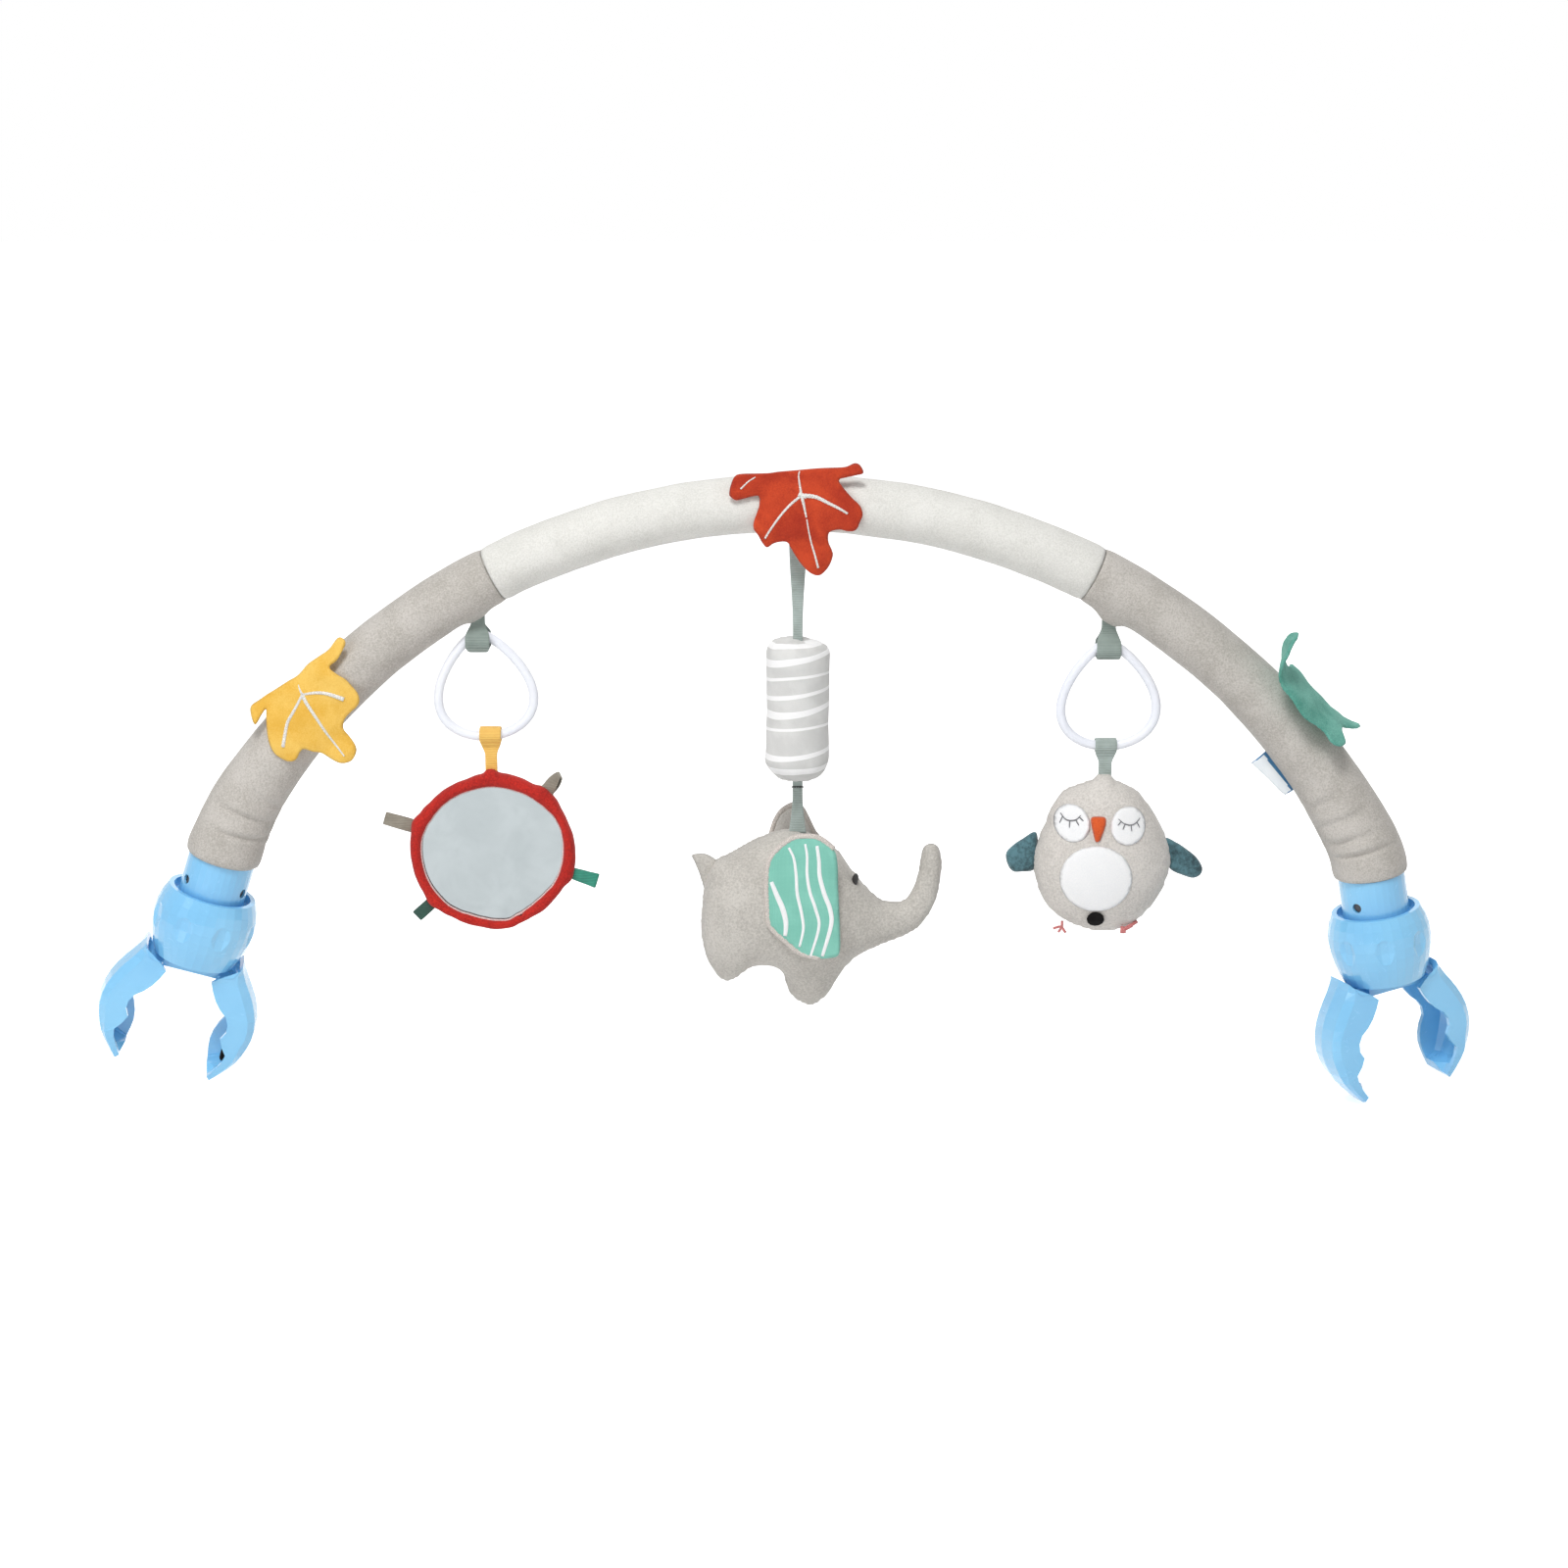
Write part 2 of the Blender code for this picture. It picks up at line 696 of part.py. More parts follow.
def loft(name, rings, material=None, parent=None, collection=None):
    """A closed skin through rings of equally many points, its ends filled."""
    bm = bmesh.new()
    made = [[bm.verts.new(point) for point in ring] for ring in rings]
    for ring, following in zip(made, made[1:]):
        for index in range(len(ring)):
            after = (index + 1) % len(ring)
            bm.faces.new((ring[index], ring[after], following[after], following[index]))
    bm.faces.new(made[0])
    bm.faces.new(made[-1])
    bmesh.ops.triangulate(bm, faces=[face for face in bm.faces if len(face.verts) > 4])
    return add_object(name, mesh_from(bm, name), material, parent, collection)


def spread(values, count):
    """Equally many in-between rows, by smooth interpolation of each column."""
    rows = []
    last = len(values) - 1
    for index in range(count):
        place = index * last / (count - 1)
        left = min(int(place), last - 1)
        share = place - left
        around = [values[max(0, min(last, left + step))] for step in (-1, 0, 1, 2)]
        rows.append(tuple(catmull_rom(column, share) for column in zip(*around)))
    return rows


def catmull_rom(four, share):
    before, start, end, after = four
    slope_in = (end - before) / 2
    slope_out = (after - start) / 2
    square, cube = share**2, share**3
    return (
        (2 * cube - 3 * square + 1) * start
        + (cube - 2 * square + share) * slope_in
        + (3 * square - 2 * cube) * end
        + (cube - square) * slope_out
    )


def stuffed(name, stations, along, material, parent=None, sides=SOFT_SIDES):
    """A sewn, stuffed form: oval sections that swell and taper along X or Z.

    Each station is (place along, centre across, half height, half depth) in metres.
    """
    rings = []
    for place, middle, half_height, half_depth in stations:
        ring = []
        for index in range(sides):
            angle = 2 * math.pi * index / sides
            across = middle + half_height * math.cos(angle)
            depth = half_depth * math.sin(angle)
            point = (place, depth, across) if along == "X" else (across, depth, place)
            ring.append(Vector(point))
        rings.append(ring)
    return loft(name, rings, material, parent)


# Arch


def arch_point(side, angle):
    """The centre line's point at this angle from the crown, and the direction down the leg."""
    crown = CROWN_ANGLE[side]
    on_crown = math.radians(min(angle, crown))
    turn = math.radians(angle)
    shoulder = SHOULDER_RADIUS[side]
    extra = CROWN_RADIUS - shoulder
    if angle <= crown:
        across, down = CROWN_RADIUS * math.sin(turn), CROWN_RADIUS * (1 - math.cos(turn))
    else:
        across = extra * math.sin(on_crown) + shoulder * math.sin(turn)
        down = CROWN_RADIUS - extra * math.cos(on_crown) - shoulder * math.cos(turn)
    place = Vector((side * across, 0, ARCH_RISE - down))
    direction = Vector((side * math.cos(turn), 0, -math.sin(turn)))
    return place, direction


def leg_length(side, angle=None):
    angle = END_ANGLE[side] if angle is None else angle
    crown = CROWN_ANGLE[side]
    on_crown = math.radians(min(angle, crown)) * CROWN_RADIUS
    return on_crown + math.radians(max(0, angle - crown)) * SHOULDER_RADIUS[side]


def sleeve_radius(side, angle):
    length = leg_length(side)
    share = leg_length(side, angle) / length
    radius = SLEEVE_RADIUS + (SLEEVE_END_RADIUS - SLEEVE_RADIUS) * share**SLEEVE_SWELL_POWER
    left_over = max(0, length * (1 - share))
    if left_over < HEM_LENGTH:
        hem = NECK_RADIUS + HEM_OVERHANG
        drawn = math.sqrt(1 - (1 - left_over / HEM_LENGTH) ** 2)
        radius = hem + (radius - hem) * drawn
    return radius


def arch_angles(side, start, end):
    """Angles down one leg, closer together where the hem draws in."""
    steps = max(2, math.ceil((end - start) / ARCH_STEP_ANGLE))
    angles = [start + (end - start) * index / steps for index in range(steps + 1)]
    if start:
        angles.insert(1, start + SEAM_LEAD_ANGLE)
    if end <= SEAM_ANGLE:
        angles.insert(-1, end - SEAM_LEAD_ANGLE)
    if end >= END_ANGLE[side]:
        hem_angle = math.degrees(HEM_LENGTH / SHOULDER_RADIUS[side])
        angles = [angle for angle in angles if angle < end - hem_angle]
        angles += [end - hem_angle * share for share in (1, 0.5, 0.2, 0)]
    return angles


def arch_path(left_end, right_end, inset=0):
    """Points and sleeve radii from the left leg, over the crown, to the right leg."""
    places = [(LEFT, angle) for angle in reversed(arch_angles(LEFT, 0, left_end))]
    places += [(RIGHT, angle) for angle in arch_angles(RIGHT, 0, right_end)[1:]]
    points = [arch_point(side, angle)[0] for side, angle in places]
    radii = [sleeve_radius(side, angle) - inset for side, angle in places]
    return points, radii


def sleeve_shell(name, points, radii, material):
    """The sleeve's fabric, and a filled copy of it that cuts what is sewn to its outside."""
    sides = SLEEVE_SIDES
    obj = tube(name, points, SLEEVE_RADIUS, material, radii=radii, sides=sides, caps=False)
    skin = obj.modifiers.new("fabric", "SOLIDIFY")
    skin.thickness = SLEEVE_THICKNESS
    skin.offset = -1
    skin.use_even_offset = True
    shape = {"radii": radii, "sides": sides}
    filled = tube(f"{name}_filled", points, SLEEVE_RADIUS, collection=CUTTERS, **shape)
    return hide_cutter(filled)


def make_arch(plugs):
    seam_gap = math.degrees(SEAT_GAP / 2 / CROWN_RADIUS)
    points, radii = arch_path(SEAM_ANGLE - seam_gap, SEAM_ANGLE - seam_gap)
    sleeves = {"centre": sleeve_shell("sleeve_centre", points, radii, "sleeve_cream")}
    for side, word in SIDES:
        angles = arch_angles(side, SEAM_ANGLE + seam_gap, END_ANGLE[side])
        points = [arch_point(side, angle)[0] for angle in angles]
        radii = [sleeve_radius(side, angle) for angle in angles]
        sleeves[word] = sleeve_shell(f"sleeve_{word}", points, radii, "sleeve_grey")

    points, radii = arch_path(END_ANGLE[LEFT], END_ANGLE[RIGHT])
    core_points = [
        point
        for point in points
        if all((point - plug_mouth(side)).length > CORE_INSIDE_PLUG for side in plugs)
    ]
    core = tube("arch_core", core_points, CORE_RADIUS, "core_plastic", sides=CORE_SIDES)

    facet_share = math.cos(math.pi / SLEEVE_SIDES)
    inner = [(radius - SLEEVE_THICKNESS) * facet_share - SEAT_GAP for radius in radii]
    kept = [
        (point, radius)
        for point, radius in zip(points, inner)
        if all((point - plug_mouth(side)).length > PLUG_SHOULDER for side in plugs)
    ]
    foam = tube(
        "foam_padding",
        [point for point, _ in kept],
        SLEEVE_RADIUS,
        "foam",
        radii=[radius for _, radius in kept],
        sides=SLEEVE_SIDES // 2,
    )
    for plug in plugs.values():
        seat_on(plug, core)
    seat_on(foam, core, *plugs.values())
    return sleeves


def plug_mouth(side):
    return arch_point(side, END_ANGLE[side])[0]


# Claws, in a frame whose origin is the top of the neck and whose Z runs up into the arch


def claw_matrix(side):
    """The claw's frame: Z along its axis, X in the plane in which its jaws open."""
    place, direction = arch_point(side, END_ANGLE[side])
    tilt = math.atan2(-direction.x, -direction.z)
    lean = Matrix.Rotation(tilt, 4, "Y")
    turn = Matrix.Rotation(math.radians(CLAW_TURN[side]), 4, "Z")
    return Matrix.Translation(place) @ lean @ turn


# Heights down the claw's axis
KNOB_TOP_Z = -NECK_SHOWN
KNOB_BASE_Z = KNOB_TOP_Z - KNOB_HEIGHT
NECK_STEP_Z = KNOB_TOP_Z - KNOB_CUP_DEPTH - KNOB_LEDGE + SEAT_GAP
NECK_FLOOR_Z = -SPIGOT_LENGTH - RUN_GAP
PIN_Z = KNOB_TOP_Z + PIN_HEIGHT
BLOCK_TOP_Z = KNOB_BASE_Z + KNOB_MOUTH_DEPTH - SEAT_GAP
BLOCK_BASE_Z = KNOB_BASE_Z - BLOCK_DROP
TUBE_END_Z = BLOCK_TOP_Z - BLOCK_RECESS + SEAT_GAP
PIVOT_Z = KNOB_BASE_Z
HALF_CLOSING = math.radians(JAW_CLOSING_ANGLE / 2)
HEEL_X = JAW_PIVOT_OUT - HEEL_ARM * math.cos(HALF_CLOSING)
HEEL_Z = PIVOT_Z - HEEL_ARM * math.sin(HALF_CLOSING)
PLUNGER_TRAVEL = 2 * HEEL_ARM * math.sin(HALF_CLOSING)
FOOT_TOP_Z = HEEL_Z + HEEL_RADIUS + PLUNGER_FOOT_OVER
EAR_INSIDE = LUG_HALF_WIDTH + RUN_GAP


def make_plug(word, frame):
    groove = NECK_BORE - RUN_GAP - SPIGOT_GROOVE_DEPTH
    spigot = NECK_BORE - RUN_GAP
    collar = NECK_RADIUS + HEM_OVERHANG - SLEEVE_THICKNESS - 2 * SEAT_GAP
    half_groove = PIN_RADIUS + 2 * RUN_GAP
    profile = [
        (0, PLUG_LENGTH),
        (PLUG_TOP_RADIUS, PLUG_LENGTH),
        (collar, PLUG_SHOULDER),
        (collar, 0),
        (spigot, 0),
        (spigot, PIN_Z + half_groove),
        (groove, PIN_Z + half_groove),
        (groove, PIN_Z - half_groove),
        (spigot, PIN_Z - half_groove),
        (spigot, -SPIGOT_LENGTH),
        (0, -SPIGOT_LENGTH),
    ]
    return turned(f"end_plug_{word}", profile, "plug_white", frame, steps=HIDDEN_STEPS)


def make_neck(word, frame):
    profile = [
        (NECK_BORE, -SEAT_GAP),
        (NECK_RADIUS, -SEAT_GAP),
        (NECK_RADIUS, NECK_STEP_Z),
        (TUBE_RADIUS, NECK_STEP_Z),
        (TUBE_RADIUS, TUBE_END_Z),
        (TUBE_BORE, TUBE_END_Z),
        (TUBE_BORE, NECK_FLOOR_Z),
        (NECK_BORE, NECK_FLOOR_Z),
    ]
    neck = turned(f"neck_{word}", profile, "blue_plastic", frame)
    slot_top = NECK_STEP_Z - NECK_FLOOR
    slot_height = slot_top - TUBE_END_Z + OVERRUN
    slot = box(
        f"slot_{word}",
        (SLOT_WIDTH, 2 * NECK_RADIUS, slot_height),
        (0, 0, slot_top - slot_height / 2),
        frame,
    )
    hole_radius = PIN_RADIUS + SEAT_GAP
    reach = (NECK_BORE - OVERRUN, NECK_RADIUS + OVERRUN)
    ends = [pin_ends(index, *reach) for index in range(PIN_COUNT)]
    holes = rods(f"pin_holes_{word}", hole_radius, ends, frame)
    cut(neck, slot, holes)


def make_clip(word, frame):
    """The retaining clip: a ring in the plug's groove, its studs snapped into the neck's holes."""
    outer = NECK_BORE - RUN_GAP
    inner = outer - SPIGOT_GROOVE_DEPTH + RUN_GAP
    half = PIN_RADIUS - CLIP_INSET
    profile = [
        (inner, PIN_Z + half),
        (outer, PIN_Z + half),
        (outer, PIN_Z - half),
        (inner, PIN_Z - half),
    ]
    clip = turned(f"retaining_clip_{word}", profile, "steel", frame, steps=HIDDEN_STEPS)
    middle = (inner + outer) / 2
    for index in range(PIN_COUNT):
        ends = [pin_ends(index, middle, NECK_RADIUS - PIN_RECESS)]
        join(clip, rods(f"stud_{index}_{word}", PIN_RADIUS, ends, frame))


def pin_ends(index, inner, outer):
    """Start and end of one radial pin; the first two stand either side of the front."""
    angle = math.radians(-90 + 360 / PIN_COUNT * (index + 0.5))
    out = Vector((math.cos(angle), math.sin(angle), 0))
    height = Vector((0, 0, PIN_Z))
    return out * inner + height, out * outer + height


def knob_side(share):
    """The knob's outer radius at this share of its height below the rim."""
    if share < KNOB_BELLY_SHARE:
        short = 1 - share / KNOB_BELLY_SHARE
        return KNOB_BELLY_RADIUS - (KNOB_BELLY_RADIUS - KNOB_RIM_RADIUS) * short**2
    low = (share - KNOB_BELLY_SHARE) / (1 - KNOB_BELLY_SHARE)
    return KNOB_BELLY_RADIUS - (KNOB_BELLY_RADIUS - KNOB_BASE_RADIUS) * low**KNOB_BASE_POWER


def make_knob(word, frame):
    outside = [
        (knob_side(index / KNOB_SIDE_STEPS), KNOB_TOP_Z - KNOB_HEIGHT * index / KNOB_SIDE_STEPS)
        for index in range(KNOB_SIDE_STEPS + 1)
    ]
    ledge_z = KNOB_TOP_Z - KNOB_CUP_DEPTH
    step_z = ledge_z - KNOB_LEDGE
    inside = [
        (KNOB_MOUTH_RADIUS, KNOB_BASE_Z),
        (KNOB_MOUTH_RADIUS, BLOCK_TOP_Z + SEAT_GAP),
        (TUBE_RADIUS + RUN_GAP, BLOCK_TOP_Z + SEAT_GAP),
        (TUBE_RADIUS + RUN_GAP, step_z),
        (NECK_RADIUS + RUN_GAP, step_z),
        (NECK_RADIUS + RUN_GAP, ledge_z),
        (KNOB_CUP_RADIUS, ledge_z),
        (KNOB_CUP_RADIUS, KNOB_TOP_Z),
    ]
    knob = turned(f"knob_{word}", outside + inside, "blue_plastic", frame)
    bm = bmesh.new()
    flute_z = KNOB_TOP_Z - KNOB_HEIGHT * FLUTE_HEIGHT_SHARE
    surface = knob_side(FLUTE_HEIGHT_SHARE)
    thick = 2 * FLUTE_DEPTH
    half_width = FLUTE_WIDTH / 2 * FLUTE_ROOT_SHARE
    half_length = FLUTE_LENGTH / 2 * FLUTE_ROOT_SHARE
    for index in range(FLUTE_COUNT):
        turn = Matrix.Rotation(2 * math.pi * (index + 0.5) / FLUTE_COUNT, 4, "Z")
        place = Matrix.Translation((surface + thick - FLUTE_DEPTH, 0, flute_z))
        size = Matrix.Diagonal((thick, half_width, half_length, 1))
        bmesh.ops.create_uvsphere(
            bm, u_segments=10, v_segments=6, radius=1, matrix=turn @ place @ size
        )
    flutes = add_object(f"flutes_{word}", mesh_from(bm, "flutes"), None, frame, CUTTERS)
    cut(knob, flutes)


def make_block(word, frame):
    """The jaw block: a plate on the tube's end with two ears that carry the jaw pins."""
    outside = KNOB_MOUTH_RADIUS - RUN_GAP
    plate_base = BLOCK_TOP_Z - BLOCK_PLATE
    recess_z = BLOCK_TOP_Z - BLOCK_RECESS
    recess_radius = TUBE_RADIUS + SEAT_GAP
    rough_bore = TUBE_BORE - BLOCK_RECESS
    profile = [
        (recess_radius, BLOCK_TOP_Z),
        (outside, BLOCK_TOP_Z),
        (outside, plate_base),
        (rough_bore, plate_base),
        (rough_bore, recess_z),
        (recess_radius, recess_z),
    ]
    block = turned(f"jaw_block_{word}", profile, "blue_plastic", frame)
    ear_top = plate_base + BLOCK_RECESS / 2
    for name, sign in (("near", -1), ("far", 1)):
        ear = box(
            f"{name}_ear_{word}",
            (2 * EAR_HALF_WIDTH, EAR_OUTSIDE - EAR_INSIDE, ear_top - BLOCK_BASE_Z),
            (0, sign * (EAR_OUTSIDE + EAR_INSIDE) / 2, (ear_top + BLOCK_BASE_Z) / 2),
            frame,
        )
        join(block, ear)
    core_room = rods(
        f"plunger_room_{word}",
        TUBE_BORE,
        [((0, 0, BLOCK_TOP_Z + OVERRUN), (0, 0, FOOT_TOP_Z - RUN_GAP))],
        frame,
        steps=TURNED_STEPS,
    )
    ends = [jaw_pin_ends(sign, OVERRUN) for sign in (-1, 1)]
    pin_holes = rods(f"jaw_pin_holes_{word}", JAW_PIN_RADIUS + SEAT_GAP, ends, frame)
    cut(block, core_room, pin_holes)
    for sign, name in SIDES:
        ends = [jaw_pin_ends(sign, -2 * SEAT_GAP)]
        rods(f"{name}_jaw_pin_{word}", JAW_PIN_RADIUS, ends, frame, PARTS, "steel")


def jaw_pin_ends(sign, past):
    reach = EAR_OUTSIDE + past
    return (sign * JAW_PIVOT_OUT, -reach, PIVOT_Z), (sign * JAW_PIVOT_OUT, reach, PIVOT_Z)


def make_plunger(word, frame):
    """The plunger rides in the tube: its wings reach the knob's thread, its foot the heels."""
    radius = TUBE_BORE - RUN_GAP
    top = NECK_STEP_Z - PLUNGER_TOP_DROP
    profile = [(0, top), (radius, top), (radius, FOOT_TOP_Z), (0, FOOT_TOP_Z)]
    plunger = turned(f"plunger_{word}", profile, "plug_white", frame, steps=HIDDEN_STEPS)
    wings = box(
        f"wings_{word}",
        (WING_WIDTH, 2 * TUBE_RADIUS, WING_HEIGHT),
        (0, 0, NECK_STEP_Z - WING_DROP - WING_HEIGHT / 2),
        frame,
    )
    foot_base = HEEL_Z - PLUNGER_FOOT_UNDER
    foot_height = FOOT_TOP_Z - foot_base + SEAT_GAP
    foot = box(
        f"foot_{word}",
        (2 * PLUNGER_FOOT_HALF_WIDTH, 2 * LUG_HALF_WIDTH, foot_height),
        (0, 0, foot_base + foot_height / 2),
        frame,
    )
    join(plunger, wings, foot)
    notch_floor = HEEL_X - HEEL_RADIUS - RUN_GAP
    notch_width = PLUNGER_FOOT_HALF_WIDTH - notch_floor + OVERRUN
    for sign, name in SIDES:
        notch = box(
            f"{name}_notch_{word}",
            (notch_width, 4 * LUG_HALF_WIDTH, 2 * (HEEL_RADIUS + SEAT_GAP)),
            (sign * (notch_floor + notch_width / 2), 0, HEEL_Z),
            frame,
        )
        cut(plunger, notch)


def strap_outline(start, start_radius, end, end_radius, steps=STRAP_END_STEPS):
    """The outline round two circles and the two lines that touch both."""
    start, end = Vector(start), Vector(end)
    away = end - start
    heading = math.atan2(away.y, away.x)
    open_angle = math.acos((start_radius - end_radius) / away.length)
    points = []
    for centre, radius, first, last in (
        (end, end_radius, -open_angle, open_angle),
        (start, start_radius, open_angle, 2 * math.pi - open_angle),
    ):
        for index in range(steps + 1):
            angle = heading + first + (last - first) * index / steps
            spoke = Vector((math.cos(angle), math.sin(angle)))
            points.append(centre + radius * spoke)
    return points


def jaw_rings(sign):
    """Channel sections from the jaw's root to its tip, about the pivot."""
    rows = spread(JAW_OUTLINE_SHARES, JAW_SECTION_COUNT)
    half = JAW_SIDES // 2
    rings = []
    for number, row in enumerate(rows):
        down_share = number / (len(rows) - 1)
        solid = down_share > JAW_TIP_SHARE
        narrowing = max(0, down_share - JAW_NARROW_START_SHARE) / (1 - JAW_NARROW_START_SHARE)
        half_width = JAW_WIDTH / 2 * (1 - (1 - JAW_TIP_NARROW_SHARE) * narrowing**2)
        back, near, far = [
            Vector((row[place] * JAW_REACH, KNOB_BASE_Z - row[place + 1] * JAW_LENGTH))
            for place in (0, 2, 4)
        ]
        ring = []
        for inner in (False, True):
            side = half_width - JAW_WALL if inner else half_width
            for index in range(half + 1):
                angle = math.pi * (index / half - 0.5)
                if inner:
                    angle = -angle
                lip = near if angle < 0 else far
                depth = (lip - back).length
                reach_share = 1 - math.cos(angle) ** JAW_SQUARE_POWER
                if inner:
                    floor_share = JAW_WALL / depth if not solid else 1
                    reach_share = floor_share + (1 - floor_share) * reach_share
                spot = back + (lip - back) * reach_share
                wide = side * math.copysign(abs(math.sin(angle)) ** JAW_SQUARE_POWER, angle)
                pivot = Vector((JAW_PIVOT_OUT, PIVOT_Z))
                spot = spot - pivot
                ring.append(Vector((sign * spot.x, wide, spot.y)))
        rings.append(ring)
    return rings


def make_jaw(name, frame, sign):
    """A channel-shaped jaw with its lug, turning about its pin."""
    place = Matrix.Translation((sign * JAW_PIVOT_OUT, 0, PIVOT_Z))
    pivot = add_empty(f"{name}_pivot", place, frame)
    jaw = loft(name, jaw_rings(sign), "blue_plastic", pivot)
    heel = (-sign * (JAW_PIVOT_OUT - HEEL_X), HEEL_Z - PIVOT_Z)
    arm_end = (sign * JAW_ARM_END[0], JAW_ARM_END[1])
    arm = strap_outline((0, 0), JAW_ARM_RADIUS, arm_end, JAW_ARM_RADIUS)
    neck = strap_outline((0, 0), KNUCKLE_RADIUS / 2, heel, HEEL_NECK_RADIUS)
    join(jaw, slab(f"{name}_arm", arm, 2 * JAW_ARM_HALF_WIDTH, None, pivot, CUTTERS))
    knuckle_ends = [((0, -LUG_HALF_WIDTH, 0), (0, LUG_HALF_WIDTH, 0))]
    join(jaw, rods(f"{name}_knuckle", KNUCKLE_RADIUS, knuckle_ends, pivot))
    join(jaw, slab(f"{name}_heel_neck", neck, 2 * HEEL_NECK_HALF_WIDTH, None, pivot, CUTTERS))
    ball_ends = [((heel[0], side * HEEL_HALF_WIDTH, heel[1]) for side in (-1, 1))]
    join(jaw, rods(f"{name}_heel_ball", HEEL_RADIUS, ball_ends, pivot))
    bore_ends = [((0, -JAW_WIDTH, 0), (0, JAW_WIDTH, 0))]
    cut(jaw, rods(f"{name}_bore", JAW_PIN_RADIUS + SEAT_GAP, bore_ends, pivot))
    return jaw


def make_bumper(jaw, pivot):
    """A round rubber stud in the hollow of the jaw's tip, where it meets the bar."""
    across, down, wide = BUMPER_SHARE
    centre = Vector(
        (
            across * JAW_REACH - JAW_PIVOT_OUT,
            wide * JAW_WIDTH,
            KNOB_BASE_Z - down * JAW_LENGTH - PIVOT_Z,
        )
    )
    outward = Vector((JAW_REACH * (BUMPER_ROOT_SHARE - across), 0, 0))
    bm = bmesh.new()
    rod_into(bm, BUMPER_RADIUS, centre, centre + outward, steps=16)
    bumper = add_object("tip_bumper", mesh_from(bm, "tip_bumper"), "black_rubber", pivot)
    soften = bumper.modifiers.new("soften", "BEVEL")
    soften.width = BUMPER_RADIUS / 3
    soften.segments = 2
    seat_on(bumper, jaw)
    return bumper


def make_claw(side, word):
    frame = add_empty(f"claw_axis_{word}", claw_matrix(side))
    plug = make_plug(word, frame)
    make_neck(word, frame)
    make_clip(word, frame)
    make_knob(word, frame)
    make_block(word, frame)
    make_plunger(word, frame)
    jaws = [make_jaw(f"{name}_jaw_{word}", frame, sign) for sign, name in SIDES]
    if side == LEFT:
        make_bumper(jaws[1], jaws[1].parent)
    return plug


# Hangers, rings and ribbons


def ring_outline(count=RING_POINT_COUNT):
    """A drop-shaped loop, apex at the origin, as points of its centre line."""
    width = RING_WIDTH - 2 * RING_WIRE_RADIUS
    height = RING_HEIGHT - 2 * RING_WIRE_RADIUS
    raw = []
    for index in range(count):
        angle = 2 * math.pi * index / count
        bulge = math.sqrt(math.sin(angle / 2) ** 2 + RING_APEX_ROUNDNESS**2)
        raw.append((math.sin(angle) * bulge, math.cos(angle)))
    widest = max(across for across, _ in raw)
    return [
        Vector((across / widest * width / 2, 0, (up - 1) * height / 2)) for across, up in raw
    ]


def wire_span(end, half_width, lean):
    """Lowest and highest centre of the leaned wire within this half width of one of its ends."""
    points = [lean @ point for point in ring_outline(FINE_RING_POINT_COUNT)]
    reach = half_width + RING_WIRE_RADIUS
    heights = [
        point.z - end.z
        for point in points
        if abs(point.x - end.x) <= reach and abs(point.z - end.z) < RING_HEIGHT / 4
    ]
    return min(heights), max(heights)


def hinge_point(side):
    """The axis on which a ring swings: the middle of its wire, inside the hanger loop."""
    angle = HANGER_ANGLE[side]
    centre = arch_point(side, angle)[0]
    under = sleeve_radius(side, angle) / math.cos(math.radians(angle))
    return Vector((centre.x, 0, centre.z - under - HANGER_DROP[side]))


def loop_and_strap(name, radius, widths, length, thickness, material, parent, up=False):
    """A ribbon: a loop about local X, and a strap that runs from it, down or up.

    The widths are those at the loop and at the strap's far end.
    """
    heading = 1 if up else -1
    outer = radius + thickness
    loop_end = widths[0] / 2
    bm = bmesh.new()
    rod_into(bm, outer, (-loop_end, 0, 0), (loop_end, 0, 0), steps=HIDDEN_STEPS)
    ribbon = add_object(name, mesh_from(bm, name), material, parent)
    start = heading * (radius + thickness / 2)
    end = start + heading * length
    waist = start + (end - start) * RIBBON_WAIST_SHARE
    far = widths[1] / 2
    outline = [
        (-loop_end, start),
        (loop_end, start),
        (far, waist),
        (far, end),
        (-far, end),
        (-far, waist),
    ]
    join(ribbon, slab(f"{name}_strap", outline, 2 * thickness, None, parent, CUTTERS))
    bore_end = loop_end + OVERRUN
    bore_ends = [((-bore_end, 0, 0), (bore_end, 0, 0))]
    cut(ribbon, rods(f"{name}_bore", radius, bore_ends, parent, steps=HIDDEN_STEPS))
    return ribbon


